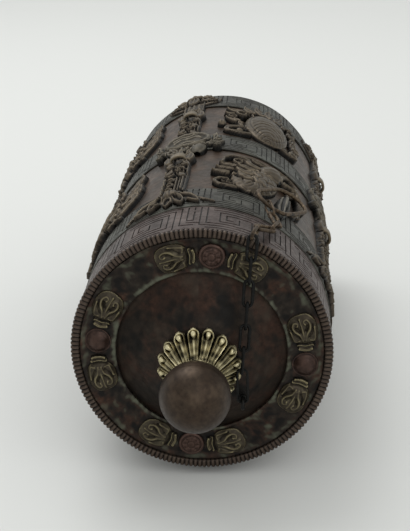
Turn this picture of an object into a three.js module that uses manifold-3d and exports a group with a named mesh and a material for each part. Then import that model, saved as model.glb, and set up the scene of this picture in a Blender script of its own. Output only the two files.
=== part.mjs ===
// Round ritual case of copper sheet, lying on its side, in millimetres.
// The case's axis runs along Y: lid and finial at -Y, flat base at +Y, +Z up.
// Angles round the case are counted from straight up, towards +X.
import * as THREE from 'three';
import { mergeVertices } from 'three/addons/utils/BufferGeometryUtils.js';
import Module from 'manifold-3d';

const wasm = await Module();
wasm.setup();

// Clearances between pieces that touch on the real object
const seat = 0.3;
const slack = 0.5;

// Sheet metal of the case and lid, as radii, walls and lengths along the axis
const neckRadius = 55.3;
const neckWall = 1.2;
const neckEngaged = 22;
const neckSeated = 14;
const shellWall = 1.6;
const skirtWall = 2.2;
const skirtLength = 28.8;
const bandWall = 0.7;
const upperBandLength = 25.4;
const frontFieldLength = 68.7;
const middleBandLength = 27.3;
const rearFieldLength = 68.1;
const baseBandLength = 26.6;
const basePlateWall = 2;
const basePlateProud = 0.3;
const facets = 48;

// Lid face, heights counted outwards from the middle of the beaded rim
const rimDepth = 3;
const rimWidth = 4;
const rimProud = 0.4;
const ornamentRingWidth = 15.8;
const ornamentRingWall = 1.3;
const ornamentRingSunk = 1.7;
const lidPlateWall = 1.3;
const domeRadius = 17.4;
const domeHeight = 11.6;
const domeCrown = 1.4;
const crownFall = 0.3;
const domeSegments = 32;
const domeStepRadius = 28.4;
const domeStep = 0.9;

// Vajra ornaments on the lid
const vajraCount = 4;
const vajraFirst = 7;
const vajraRise = 2.8;
const vajraBossRadius = 5.9;
const vajraHeadLength = 7.1;
const vajraHeadWidth = 6.3;
const vajraHeadAngle = 21.5;
const vajraWaistWidth = 2.8;

// Finial: lotus collar, ball, and the rod that holds both
const petals = 16;
const collarRadius = 17.6;
const collarNeckRadius = 9.2;
const collarHeight = 13.4;
const petalDepth = 0.5;
const ballRadius = 15;
const ballSunk = 0.37;
const ballBoreDepth = 17.5;
const rodRadius = 3;
const rodHeadRadius = 4.8;
const rodHeadHeight = 2;
const washerRadius = 8;
const washerWall = 1.2;

// Straps with their carrying loops, medallions and bows
const columns = 4;
const strapAngle = -17;
const strapWidth = 11;
const strapRise = 2.8;
const strapEdgeRise = 0.6;
const strapEdgeWidth = 1.4;
const loopWidth = 7.6;
const loopHeight = 4.4;
const loopWall = 1.4;
const loopLength = 5.5;
const loopAlongField = 0.73;
const loopAlongRearField = 0.62;
const medallionRadius = 10;
const medallionRise = 6;
const medallionLobe = 5.2;
const medallionAlong = 10;
const medallionLobeBack = 14;
const strapOverBand = 6;
const bowSpan = 18;
const bowRise = 4.2;
const bowStrip = 3.6;
const bowLeafLength = 22;
const bowLeafWidth = 6;
const bowLeafTurn = 27;
const footOrnamentRise = 4.6;
const footLeafLength = 19;
const strapMoundLength = 9.2;
const strapMoundWidth = 10;
const strapMoundRise = 4.8;
const scrollPitch = 10;
const scrollRise = 4.1;
const scrollLength = 8.6;
const scrollWidth = 5;

// Emblems in two rows round the case
const emblemAngle = 26;
const emblemHalfWidth = 20;
const emblemHalfLength = 28;
const emblemRise = 4.4;
const ribbonRise = 5.8;
const ribbonWidth = 5;
const ribbonTailRise = 3.2;

// Lid chain, its eye on the lid and the stud on the case
const wire = 1.5;
const linkWidth = 5.5;
const linkLift = 0.9;
const faceLinks = 6;
const sideStep = 5;
const eyeSideways = 18.5;
const eyeDown = 17.5;
const eyeRise = 13.5;
const eyeRingRadius = 2.3;
const eyeRingWire = 1.8;
const eyeShankRadius = 1.2;
const eyeShankFoot = 1.8;
const pearRingLength = 18.5;
const pearRingLean = 4.8;
const pearRingWidth = 5.8;
const rimCrossingAngle = 22.5;
const rimCrossingRise = 2.8;
const loopWire = 2;
const catchLoopWidth = 20.4;
const catchLoopLength = 33.5;
const catchLoopTurn = 30;
const catchLoopClimb = 1.4;
const studAngle = 36.5;
const studStart = 43;
const studLength = 19;
const studWidth = 7.5;
const studRise = 7.8;
const studNoseRise = 2.4;

// Radii and places that follow from the sizes above
const skirtInner = neckRadius + seat;
const skirtRadius = skirtInner + skirtWall;
const shellInner = neckRadius + seat;
const shellRadius = shellInner + shellWall;
const bandInner = shellRadius + seat;
const bandRadius = bandInner + bandWall;
const rimRadius = skirtRadius + rimProud;
const rimInner = rimRadius - rimWidth;
const skirtStart = rimDepth / 2 + seat;
const lidSeam = skirtStart + skirtLength;
const shellStart = lidSeam + seat;
const upperBandEnd = shellStart + upperBandLength;
const middleBandStart = upperBandEnd + frontFieldLength;
const middleBandEnd = middleBandStart + middleBandLength;
const baseBandStart = middleBandEnd + rearFieldLength;
const baseBandEnd = baseBandStart + baseBandLength;
const basePlateEnd = baseBandEnd + basePlateProud;
const shellEnd = basePlateEnd - basePlateWall - seat;
const neckStart = lidSeam - neckEngaged;
const neckEnd = shellStart + neckSeated;
const ringOuter = rimInner - seat;
const ringInner = ringOuter - ornamentRingWidth;
const ringMiddle = (ringOuter + ringInner) / 2;
const ringFace = ornamentRingSunk - rimDepth / 2;
const ringBack = ringFace + ornamentRingWall;
const plateFace = ringBack + seat;

const colours = {
  reddishCopper: { color: 0x6b4a41, roughness: 0.5 },
  palePatinaCopper: { color: 0x8a7d76, roughness: 0.55 },
  darkCopper: { color: 0x4a3a33, roughness: 0.5 },
  oldBrass: { color: 0x8b7a4c, roughness: 0.4 },
  blackenedIron: { color: 0x3a332c, roughness: 0.55 },
};

const caseGroup = new THREE.Group();
const root = new THREE.Group();
root.add(caseGroup);

function add(name, geometry, finish) {
  const material = new THREE.MeshStandardMaterial({ ...colours[finish], metalness: 1 });
  const mesh = new THREE.Mesh(geometry, material);
  mesh.name = name;
  caseGroup.add(mesh);
  return mesh;
}

function radians(degrees) {
  return THREE.MathUtils.degToRad(degrees);
}

// Point on a circle round the case's axis
function around(angle, radius, along) {
  return new THREE.Vector3(
    radius * Math.sin(radians(angle)), along, radius * Math.cos(radians(angle)));
}

// A closed triangle mesh with shared vertices, no empty triangles and its faces out
function closed(geometry) {
  const plain = geometry.clone();
  for (const name of Object.keys(plain.attributes)) {
    if (name !== 'position') plain.deleteAttribute(name);
  }
  const merged = mergeVertices(plain, 1e-4);
  const place = merged.getAttribute('position');
  const kept = [];
  const index = merged.getIndex();
  let volume = 0;
  const a = new THREE.Vector3();
  const b = new THREE.Vector3();
  const c = new THREE.Vector3();
  for (let i = 0; i < index.count; i += 3) {
    const corners = [index.getX(i), index.getX(i + 1), index.getX(i + 2)];
    if (new Set(corners).size < 3) continue;
    kept.push(corners);
    a.fromBufferAttribute(place, corners[0]);
    b.fromBufferAttribute(place, corners[1]);
    c.fromBufferAttribute(place, corners[2]);
    volume += a.dot(b.cross(c));
  }
  const facing = volume < 0 ? kept.map(([i, j, k]) => [i, k, j]) : kept;
  const result = new THREE.BufferGeometry();
  result.setAttribute('position', place.clone());
  result.setIndex(facing.flat());
  return result;
}

function solid(geometry) {
  const shape = closed(geometry);
  const mesh = new wasm.Mesh({
    numProp: 3,
    vertProperties: new Float32Array(shape.getAttribute('position').array),
    triVerts: new Uint32Array(shape.getIndex().array),
  });
  return new wasm.Manifold(mesh);
}

function union(solids) {
  return solids.reduce((whole, next) => whole.add(next));
}

function geometryOf(manifold) {
  const mesh = manifold.getMesh();
  const result = new THREE.BufferGeometry();
  result.setAttribute('position', new THREE.BufferAttribute(mesh.vertProperties, 3));
  result.setIndex(new THREE.BufferAttribute(mesh.triVerts, 1));
  return result;
}

// Turned piece round the case's axis, from [radius, along] pairs
function turned(profile, segments = facets) {
  const points = profile.map(([radius, along]) => new THREE.Vector2(radius, along));
  return closed(new THREE.LatheGeometry(points, segments));
}

// Tube of sheet metal between two radii and two places along the axis
function sleeve(inner, outer, start, end) {
  return turned([[inner, start], [outer, start], [outer, end], [inner, end], [inner, start]]);
}

// Turned piece on the lid, from [radius, height out of the lid] pairs
function lidTurned(profile, segments = facets) {
  return turned(profile.map(([radius, height]) => [radius, -height]), segments);
}

// Rings of points joined into one closed skin, with a flat fan at each end
function loft(rings) {
  const points = rings.flat();
  const size = rings[0].length;
  const triangles = [];
  for (let ring = 0; ring < rings.length - 1; ring += 1) {
    for (let i = 0; i < size; i += 1) {
      const next = (i + 1) % size;
      const low = ring * size;
      triangles.push(low + i, low + next, low + size + next);
      triangles.push(low + i, low + size + next, low + size + i);
    }
  }
  const last = (rings.length - 1) * size;
  for (let i = 1; i < size - 1; i += 1) {
    triangles.push(0, i + 1, i);
    triangles.push(last, last + i, last + i + 1);
  }
  const result = new THREE.BufferGeometry();
  result.setFromPoints(points);
  result.setIndex(triangles);
  return result;
}

// Moves a flat relief onto the case: x runs round it, y along it, z out of its wall
function wrapped(geometry, angle) {
  const shape = geometry.clone();
  const place = shape.getAttribute('position');
  for (let i = 0; i < place.count; i += 1) {
    const turn = angle + THREE.MathUtils.radToDeg(place.getX(i) / shellRadius);
    const point = around(turn, shellRadius + place.getZ(i), place.getY(i));
    place.setXYZ(i, point.x, point.y, point.z);
  }
  return shape;
}

// Moves a flat relief onto the lid: x runs round the ring, y outwards, z out of its face
function onRing(geometry, angle) {
  const shape = geometry.clone();
  const place = shape.getAttribute('position');
  for (let i = 0; i < place.count; i += 1) {
    const turn = angle + THREE.MathUtils.radToDeg(place.getX(i) / ringMiddle);
    const point = around(turn, ringMiddle + place.getY(i), ringFace - place.getZ(i));
    place.setXYZ(i, point.x, point.y, point.z);
  }
  return shape;
}

// Low dome on an oval foot, its height along z
function dome({ x = 0, y = 0, long, wide, rise, foot = 0, turn = 0, sides = 9 }) {
  const profile = [new THREE.Vector2(0, foot), new THREE.Vector2(1, foot)];
  for (const lift of [0.4, 0.8]) {
    profile.push(new THREE.Vector2(Math.sqrt(1 - lift * lift), lift * rise));
  }
  profile.push(new THREE.Vector2(0, rise));
  const shape = new THREE.LatheGeometry(profile, sides);
  shape.rotateX(Math.PI / 2);
  shape.scale(wide, long, 1);
  shape.rotateZ(-radians(turn));
  shape.translate(x, y, 0);
  return closed(shape);
}

// Rounded band of relief that follows a flat curve
function ribbon(points, width, rise, foot) {
  const curve = new THREE.CatmullRomCurve3(points.map(([x, y]) => new THREE.Vector3(x, y, 0)));
  const steps = points.length + 1;
  const rings = [];
  for (let i = 0; i <= steps; i += 1) {
    const at = curve.getPointAt(i / steps);
    const along = curve.getTangentAt(i / steps);
    const side = new THREE.Vector3(-along.y, along.x, 0).multiplyScalar(width / 2);
    const ring = [[-1, foot], [1, foot], [0.8, 0.75 * rise], [0, rise], [-0.8, 0.75 * rise]];
    rings.push(ring.map(([across, height]) => at.clone().addScaledVector(side, across)
      .setZ(height)));
  }
  return closed(loft(rings));
}

// The case's outside with its bands, grown by the seat, that every relief is cut to
function caseOutside() {
  const wall = shellRadius + seat;
  const band = bandRadius + seat;
  return solid(turned([
    [0, -rimDepth], [band, -rimDepth], [band, upperBandEnd + seat], [wall, upperBandEnd + seat],
    [wall, middleBandStart - seat], [band, middleBandStart - seat],
    [band, middleBandEnd + seat], [wall, middleBandEnd + seat],
    [wall, baseBandStart - seat], [band, baseBandStart - seat],
    [band, basePlateEnd + rimDepth], [0, basePlateEnd + rimDepth]]));
}

const outside = caseOutside();
const reliefFoot = -1;

// Sheet metal of the case
function addCaseSheets() {
  add('case_shell', sleeve(shellInner, shellRadius, shellStart, shellEnd), 'reddishCopper');
  add('neck_sleeve', sleeve(neckRadius - neckWall, neckRadius, neckStart, neckEnd),
    'reddishCopper');
  const plate = [[0, shellEnd + seat], [shellRadius, shellEnd + seat],
    [shellRadius, basePlateEnd], [0, basePlateEnd]];
  add('base_plate', turned(plate), 'reddishCopper');
  add('upper_fret_band', sleeve(bandInner, bandRadius, shellStart, upperBandEnd),
    'palePatinaCopper');
  add('middle_fret_band', sleeve(bandInner, bandRadius, middleBandStart, middleBandEnd),
    'palePatinaCopper');
  add('base_fret_band', sleeve(bandInner, bandRadius, baseBandStart, baseBandEnd),
    'palePatinaCopper');
}

// Height of the lid plate's front at a radius: a dome that falls to the ornament ring
function domeProfile() {
  const edge = -plateFace;
  const middle = (domeRadius + domeStepRadius) / 2;
  const rise = domeHeight - edge;
  return [
    [domeRadius, domeHeight],
    [middle, edge + 0.76 * rise],
    [domeStepRadius - 0.3, edge + 0.5 * rise],
    [domeStepRadius + 0.3, edge + 0.5 * rise - domeStep],
    [(domeStepRadius + ringInner) / 2, edge + 0.19 * rise],
    [ringInner - 1.2, edge + 0.03 * rise],
    [ringInner, edge],
  ];
}

function addLidSheets() {
  const bevel = rimDepth / 4;
  const rim = [
    [rimInner, -rimDepth / 2 + bevel], [rimInner + bevel, -rimDepth / 2],
    [rimRadius - bevel, -rimDepth / 2], [rimRadius, -rimDepth / 2 + bevel],
    [rimRadius, rimDepth / 2 - bevel], [rimRadius - bevel, rimDepth / 2],
    [rimInner + bevel, rimDepth / 2], [rimInner, rimDepth / 2 - bevel],
    [rimInner, -rimDepth / 2 + bevel]];
  add('rim_beading', turned(rim), 'darkCopper');
  add('lid_skirt', sleeve(skirtInner, skirtRadius, skirtStart, lidSeam), 'reddishCopper');
  add('ornament_ring', sleeve(ringInner, ringOuter, ringFace, ringBack), 'oldBrass');
  const bore = rodRadius + seat;
  const crown = domeHeight + domeCrown;
  const front = [[bore, crown], [domeRadius * 0.6, crown - crownFall], ...domeProfile(),
    [neckRadius, -plateFace]];
  const back = front.map(([radius, height]) => [radius, height - lidPlateWall]).reverse();
  add('lid_top', lidTurned([...front, ...back, front[0]], domeSegments), 'darkCopper');
}

// One vajra laid round the ring: middle boss, two waists and two pronged heads
function addVajras() {
  const head = radians(vajraHeadAngle) * ringMiddle;
  for (let k = 0; k < vajraCount; k += 1) {
    const pieces = [
      dome({ long: vajraBossRadius, wide: vajraBossRadius, rise: vajraRise + seat,
        foot: seat, sides: 12 })];
    for (const side of [-1, 1]) {
      pieces.push(dome({ x: side * head, long: vajraHeadWidth, wide: vajraHeadLength,
        rise: vajraRise + seat, foot: seat, sides: 11 }));
      pieces.push(dome({ x: side * head * 0.45, long: vajraWaistWidth, wide: head * 0.3,
        rise: 0.75 * vajraRise, foot: seat, sides: 7 }));
    }
    const angle = vajraFirst + k * 360 / vajraCount;
    const joined = union(pieces.map((piece) => solid(onRing(piece, angle))));
    add(`vajra_${k + 1}`, geometryOf(joined), 'oldBrass');
  }
}

// Height of the lid's crown, and the collar's and ball's places above it
const crownHeight = domeHeight + domeCrown;
const collarFoot = crownHeight + seat;
const collarTop = collarFoot + collarHeight - seat;
const ballCentre = collarTop + ballRadius - ballSunk + seat;

function addCollar() {
  const bore = rodRadius + seat;
  const outer = [
    [collarRadius - 1.2, collarFoot - 1.1, 0], [collarRadius, collarFoot - 0.6, 1],
    [collarRadius - 0.3, collarFoot + 1, 1], [collarRadius - 2.2, collarFoot + 3.9, 1],
    [(collarRadius + collarNeckRadius) / 2 - 1, collarFoot + 7.6, 0.8],
    [collarNeckRadius + 0.5, collarFoot + 11, 0.4], [collarNeckRadius, collarTop, 0]];
  const sides = petals * 3;
  const rings = [[bore, collarFoot, 0], [collarRadius * 0.7, collarFoot, 0], ...outer,
    [bore, collarTop, 0], [bore, collarFoot, 0]];
  const shape = new THREE.LatheGeometry(
    rings.map(([radius, height]) => new THREE.Vector2(radius, -height)), sides);
  const place = shape.getAttribute('position');
  for (let i = 0; i < place.count; i += 1) {
    const ring = rings[i % rings.length];
    const side = Math.floor(i / rings.length) % 3;
    const flute = [-1, 0.8, 0.8][side] * petalDepth * ring[2];
    const scale = (ring[0] + flute) / ring[0];
    place.setX(i, place.getX(i) * scale);
    place.setZ(i, place.getZ(i) * scale);
  }
  add('lotus_collar', closed(shape), 'oldBrass');
}

function addFinial() {
  const bore = rodRadius + seat;
  const bottom = ballCentre - Math.sqrt(ballRadius ** 2 - bore ** 2);
  const start = Math.asin(bore / ballRadius);
  const profile = [[0, bottom + ballBoreDepth], [bore, bottom + ballBoreDepth]];
  const steps = 12;
  for (let i = 0; i <= steps; i += 1) {
    const turn = start + (Math.PI - start) * i / steps;
    profile.push([ballRadius * Math.sin(turn), ballCentre - ballRadius * Math.cos(turn)]);
  }
  profile[profile.length - 1][0] = 0;
  add('finial_ball', lidTurned(profile, 28), 'darkCopper');
  const washerTop = crownHeight - crownFall - lidPlateWall - seat;
  const washerFoot = washerTop - washerWall;
  add('finial_washer', lidTurned([[bore, washerFoot], [washerRadius, washerFoot],
    [washerRadius, washerTop], [bore, washerTop], [bore, washerFoot]], 24), 'darkCopper');
  const headTop = washerFoot - seat;
  add('finial_rod', lidTurned([[0, headTop - rodHeadHeight],
    [rodHeadRadius, headTop - rodHeadHeight], [rodHeadRadius, headTop], [rodRadius, headTop],
    [rodRadius, bottom + ballBoreDepth - seat], [0, bottom + ballBoreDepth - seat]], 20),
  'darkCopper');
}

// Strap along the case, grown by a margin when it serves as a cutter
function strapSolid(angle, margin) {
  const half = strapWidth / 2 + margin;
  const inner = half - strapEdgeWidth - margin;
  const top = strapRise + margin;
  const edge = top + strapEdgeRise;
  const section = [[-half, reliefFoot], [half, reliefFoot], [half, edge], [inner + 0.5, edge],
    [inner, top], [-inner, top], [-inner - 0.5, edge], [-half, edge]];
  const start = upperBandEnd - strapOverBand;
  const end = baseBandStart + strapOverBand;
  const rings = [start, end].map((along) => section.map(
    ([x, height]) => new THREE.Vector3(x, along, height)));
  return solid(wrapped(loft(rings), angle));
}

// Bow over the upper band, with two leaves and two tails, on one strap
function bowForms() {
  const middle = (shellStart + upperBandEnd) / 2;
  const lean = radians(bowLeafTurn);
  const pieces = [dome({ y: middle + bowStrip / 2, long: 2 * bowStrip,
    wide: 1.25 * bowStrip, rise: 1.14 * bowRise, foot: reliefFoot })];
  for (const side of [-1, 1]) {
    pieces.push(dome({ x: side * bowLeafLength / 2 * Math.sin(lean),
      y: middle + 2.2 * bowStrip - bowLeafLength / 2 * Math.cos(lean), long: bowLeafLength / 2,
      wide: bowLeafWidth / 2, rise: bowRise, foot: reliefFoot, turn: -side * bowLeafTurn }));
    const tail = ribbon([[side * bowSpan * 0.16, bowSpan * 0.4],
      [side * bowSpan * 0.5, bowSpan / 3], [side * bowSpan * 0.8, 0],
      [side * bowSpan, -bowSpan / 3]], bowStrip, 0.86 * bowRise, reliefFoot);
    tail.translate(0, middle, 0);
    pieces.push(tail);
  }
  return pieces;
}

// Foot ornament over the base band: a middle leaf with two lobes on each side
function footForms() {
  const middle = (baseBandStart + baseBandEnd) / 2;
  const leaf = footLeafLength / 2;
  const pieces = [
    dome({ y: middle - leaf * 0.1, long: leaf, wide: leaf * 0.63, rise: footOrnamentRise,
      foot: reliefFoot }),
    dome({ y: middle + leaf * 0.9, long: leaf * 0.36, wide: leaf * 0.53, rise: footOrnamentRise,
      foot: reliefFoot, sides: 7 })];
  for (const side of [-1, 1]) {
    pieces.push(dome({ x: side * leaf * 0.84, y: middle + leaf * 0.2, long: leaf * 0.67,
      wide: leaf * 0.42, rise: footOrnamentRise * 0.85, foot: reliefFoot, turn: -side * 12,
      sides: 7 }));
    pieces.push(dome({ x: side * leaf * 1.26, y: middle - leaf * 0.53, long: leaf * 0.46,
      wide: leaf * 0.38, rise: footOrnamentRise * 0.74, foot: reliefFoot, sides: 7 }));
  }
  return pieces;
}

// Middle of each medallion along the case
function medallionMiddle() {
  return (middleBandStart + middleBandEnd) / 2 + medallionAlong;
}

// Where the tunnel loops stand along the case
function loopPlaces() {
  return [upperBandEnd + loopAlongField * frontFieldLength,
    middleBandEnd + loopAlongRearField * rearFieldLength];
}

// Leafy mounds before and behind each tunnel loop, and scrolls between them, on one strap
function strapForms() {
  const pieces = [];
  const clear = loopLength / 2 + seat + strapMoundLength / 2;
  const starts = [upperBandEnd, medallionMiddle() + medallionRadius + seat];
  loopPlaces().forEach((loop, i) => {
    for (const side of [-1, 1]) {
      pieces.push(dome({ y: loop + side * clear, long: strapMoundLength / 2,
        wide: strapMoundWidth / 2, rise: strapMoundRise, sides: 7 }));
    }
    const room = loop - clear - strapMoundLength / 2 - starts[i];
    const count = Math.floor(room / scrollPitch);
    for (let k = 0; k < count; k += 1) {
      const side = k % 2 ? 1 : -1;
      pieces.push(dome({ x: side * (strapWidth - 2 * strapEdgeWidth - scrollWidth) / 2,
        y: starts[i] + (k + 0.5) * room / count, long: scrollLength / 2, wide: scrollWidth / 2,
        rise: scrollRise, turn: side * 20, sides: 5 }));
    }
  });
  return pieces;
}

// Round medallion with a leaf lobe on each side, over the strap at the middle band
function medallionSolid(angle) {
  const middle = medallionMiddle();
  const low = middle - medallionLobeBack;
  const pieces = [dome({ y: middle, long: medallionRadius, wide: medallionRadius,
    rise: medallionRise, foot: reliefFoot, sides: 13 })];
  for (const side of [-1, 1]) {
    pieces.push(dome({ x: side * (medallionRadius - 1), y: low + 7, long: 7, wide: 4.4,
      rise: medallionLobe, foot: reliefFoot }));
    pieces.push(dome({ x: side * 6, y: low, long: 5.4, wide: 5, rise: medallionLobe,
      foot: reliefFoot }));
  }
  return union(pieces.map((piece) => solid(wrapped(piece, angle))));
}

// Small tunnel loop that a carrying cord threads through, open along the case
function strapLoopSolid(angle, along) {
  const half = loopWidth / 2;
  const foot = strapRise + seat;
  const round = half * 0.7;
  const shape = new THREE.Shape();
  shape.moveTo(-half, 0);
  shape.lineTo(half, 0);
  shape.lineTo(half, loopHeight - round);
  shape.quadraticCurveTo(half, loopHeight, half - round, loopHeight);
  shape.lineTo(-half + round, loopHeight);
  shape.quadraticCurveTo(-half, loopHeight, -half, loopHeight - round);
  const inner = half - loopWall;
  const roof = loopHeight - loopWall;
  const hole = new THREE.Path();
  hole.moveTo(-inner, loopWall / 2);
  hole.lineTo(-inner, roof - inner / 2);
  hole.quadraticCurveTo(-inner, roof, 0, roof);
  hole.quadraticCurveTo(inner, roof, inner, roof - inner / 2);
  hole.lineTo(inner, loopWall / 2);
  shape.holes.push(hole);
  const tunnel = new THREE.ExtrudeGeometry(shape, { depth: loopLength, bevelEnabled: false,
    curveSegments: 3 });
  tunnel.rotateX(Math.PI / 2);
  tunnel.translate(0, along + loopLength / 2, foot);
  return solid(wrapped(tunnel, angle));
}

function addStraps() {
  const [frontLoop, rearLoop] = loopPlaces();
  const forms = [...bowForms(), ...footForms(), ...strapForms()];
  for (let k = 0; k < columns; k += 1) {
    const angle = strapAngle + k * 360 / columns;
    const raised = union(forms.map((form) => solid(wrapped(form, angle))));
    const strap = strapSolid(angle, 0).add(raised).subtract(outside);
    add(`strap_${k + 1}`, geometryOf(strap), 'darkCopper');
    const medallion = medallionSolid(angle).subtract(outside)
      .subtract(strapSolid(angle, seat));
    add(`medallion_${k + 1}`, geometryOf(medallion), 'darkCopper');
    add(`strap_loop_front_${k + 1}`, geometryOf(strapLoopSolid(angle, frontLoop)),
      'darkCopper');
    add(`strap_loop_rear_${k + 1}`, geometryOf(strapLoopSolid(angle, rearLoop)),
      'darkCopper');
  }
}

// Emblems are drawn in units that make them 56 long
const emblemUnit = emblemHalfLength / 28;

// Flowing ribbons that hold each emblem, the same on all eight
function emblemRibbons() {
  const pieces = [];
  const upper = [[6, -8], [13, -7], [16, 0], [13, 8], [14, 15], [16, 23]];
  const tail = [[13, -7], [17, -14], [11, -18], [14, -24]];
  const reach = emblemHalfWidth / 20;
  for (const side of [-1, 1]) {
    const placed = (marks) => marks.map(([x, y]) => [side * x * reach, y * emblemUnit]);
    pieces.push(ribbon(placed(upper), ribbonWidth, ribbonRise, reliefFoot));
    pieces.push(ribbon(placed(tail), ribbonWidth * 0.9, ribbonTailRise, reliefFoot));
  }
  return pieces;
}

// Each emblem's forms in those units, with their rise as a share of the emblems' rise
const emblemForms = {
  vase: [
    { y: -3, long: 11, wide: 9.5, rise: 1, sides: 13 },
    { y: 9, long: 5, wide: 5.5, rise: 0.91 },
    { y: 15, long: 3.5, wide: 8, rise: 0.91 },
    { y: -14, long: 3.5, wide: 7.5, rise: 0.86 }],
  conch: [
    { y: 3, long: 17, wide: 10, rise: 1.14, sides: 13 },
    { y: -10, long: 9, wide: 11, rise: 1, sides: 13 },
    { y: 19, long: 5, wide: 4.5, rise: 0.86 }],
  parasol: [
    { y: 5, long: 8.5, wide: 13, rise: 1, sides: 13 },
    { y: -3, long: 5, wide: 12, rise: 0.86 },
    { y: -13, long: 9, wide: 2.6, rise: 0.77 },
    { y: 15, long: 5, wide: 3.5, rise: 0.91 }],
  lotus: [
    { y: 3, long: 12, wide: 6, rise: 1.09, sides: 13 },
    { x: -7, y: 0, long: 10, wide: 5, rise: 1, turn: -30 },
    { x: 7, y: 0, long: 10, wide: 5, rise: 1, turn: 30 },
    { y: -10, long: 6, wide: 10, rise: 0.86 }],
  fish: [
    { x: -4, y: 0, long: 14, wide: 4.6, rise: 1, turn: 18, sides: 13 },
    { x: 4, y: 0, long: 14, wide: 4.6, rise: 1, turn: -18, sides: 13 },
    { x: -8, y: -13, long: 4, wide: 5, rise: 0.77 },
    { x: 8, y: -13, long: 4, wide: 5, rise: 0.77 }],
  knot: [
    { long: 12, wide: 12, rise: 0.91, turn: 45, sides: 4 },
    { y: 10, long: 5, wide: 4, rise: 0.91 },
    { y: -10, long: 5, wide: 4, rise: 0.91 },
    { x: 9, long: 4, wide: 5, rise: 0.91 },
    { x: -9, long: 4, wide: 5, rise: 0.91 }],
  banner: [
    { y: 9, long: 7, wide: 8.5, rise: 1, sides: 13 },
    { y: 0, long: 7, wide: 9, rise: 1, sides: 13 },
    { y: -9, long: 7, wide: 9.5, rise: 1, sides: 13 },
    { y: 17, long: 4, wide: 3.5, rise: 0.86 }],
  wheel: [
    { long: 12, wide: 12, rise: 0.86, sides: 14 },
    { long: 4, wide: 4, rise: 1.14 },
    { y: 13, long: 3, wide: 3, rise: 0.77 },
    { y: -14, long: 4, wide: 8, rise: 0.77 }],
};

const frontEmblems = ['vase', 'wheel', 'fish', 'knot'];
const rearEmblems = ['conch', 'parasol', 'lotus', 'banner'];

function emblemSolid(kind, angle, along) {
  const forms = emblemForms[kind].map(({ x = 0, y = 0, long, wide, rise, turn, sides }) => dome({
    x: x * emblemUnit, y: y * emblemUnit, long: long * emblemUnit, wide: wide * emblemUnit,
    rise: rise * emblemRise, foot: reliefFoot, turn, sides }));
  const pieces = [...forms, ...emblemRibbons()].map((piece) => {
    piece.translate(0, along, 0);
    return solid(wrapped(piece, angle));
  });
  return union(pieces).subtract(outside);
}

// Almond-shaped stud that the chain's end loop drops over
function studSolid(margin) {
  const foot = bandRadius - shellRadius + seat - margin;
  const marks = [[0, 0.12, studNoseRise], [0.2, 0.55, 0.52 * studRise],
    [0.5, 0.95, 0.74 * studRise], [0.72, 1, 0.92 * studRise], [0.88, 0.85, studRise],
    [1, 0.5, 0.8 * studRise]];
  const rings = marks.map(([share, broad, rise]) => {
    const half = broad * studWidth / 2 + margin;
    const along = studStart + share * studLength + (share < 0.5 ? -margin : margin);
    const top = rise + margin;
    return [[-half, foot], [half, foot], [half * 0.85, 0.55 * top], [half * 0.4, 0.86 * top],
      [0, top], [-half * 0.4, 0.86 * top], [-half * 0.85, 0.55 * top]]
      .map(([x, height]) => new THREE.Vector3(x, along, Math.max(height, foot + 0.01)));
  });
  return solid(wrapped(loft(rings), studAngle));
}

function addEmblems() {
  const front = upperBandEnd + emblemHalfLength - 1;
  const rear = middleBandEnd + rearFieldLength / 2 - 1;
  for (let k = 0; k < columns; k += 1) {
    const angle = emblemAngle + k * 360 / columns;
    const first = k === 0 ? emblemSolid(frontEmblems[k], angle, front)
      .subtract(studSolid(slack)) : emblemSolid(frontEmblems[k], angle, front);
    add(`emblem_${frontEmblems[k]}`, geometryOf(first), 'darkCopper');
    add(`emblem_${rearEmblems[k]}`, geometryOf(emblemSolid(rearEmblems[k], angle, rear)),
      'darkCopper');
  }
  add('catch_stud', geometryOf(studSolid(0)), 'blackenedIron');
}

// Closed wire ring between two end points of its centre line
// flatTo is the direction that the ring's plane faces
function wireRing({ from, to, flatTo, width, thick, taper = 1, sides = 6 }) {
  const along = to.clone().sub(from);
  const length = along.length();
  along.normalize();
  const across = new THREE.Vector3().crossVectors(along, flatTo).normalize();
  const facing = new THREE.Vector3().crossVectors(across, along).normalize();
  const bend = (width - thick) / 2;
  const ring = new THREE.TorusGeometry(bend, thick / 2, sides, 12);
  ring.rotateZ(Math.PI / 12);
  const place = ring.getAttribute('position');
  const middle = from.clone().add(to).multiplyScalar(0.5);
  const straight = length / 2 - bend;
  for (let i = 0; i < place.count; i += 1) {
    const y = place.getY(i) + Math.sign(place.getY(i)) * straight;
    const narrow = taper + (1 - taper) * (0.5 - y / length);
    const point = middle.clone().addScaledVector(across, place.getX(i) * narrow)
      .addScaledVector(along, y).addScaledVector(facing, place.getZ(i));
    place.setXYZ(i, point.x, point.y, point.z);
  }
  return closed(ring);
}

// Places on the chain: the eye on the lid, the first ring's top and the turn over the rim
const rimCrossing = around(rimCrossingAngle, rimRadius + rimCrossingRise,
  -rimDepth / 2 - wire);
const eyePlace = new THREE.Vector3(eyeSideways, -eyeRise, -eyeDown);
const pearRingTop = new THREE.Vector3(eyeSideways, -eyeRise - pearRingLean,
  pearRingLength - eyeDown);
const linkPitch = pearRingTop.distanceTo(rimCrossing) / faceLinks;

// Distance between the middles of two wires that hold each other, and a link's centre line
const bite = wire + seat;
const linkLine = linkPitch + bite;
const sideRise = bandRadius + linkWidth / 2 + linkLift;

// Marks that the links along the case point at: angle, place along the axis, radius
const sideMarks = [
  [24.5, 1.3 * sideStep, sideRise],
  [30, 2.3 * sideStep, sideRise],
  [32.9, 4.5 * sideStep, sideRise],
  [30.2, 6 * sideStep, sideRise + 4 / 9 * linkLift],
  [27.2, 8.2 * sideStep, sideRise + 4 / 3 * linkLift],
];

// Direction out of the case under a point of the chain
function outOf(point) {
  return new THREE.Vector3(point.x, 0, point.z).normalize();
}

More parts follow.
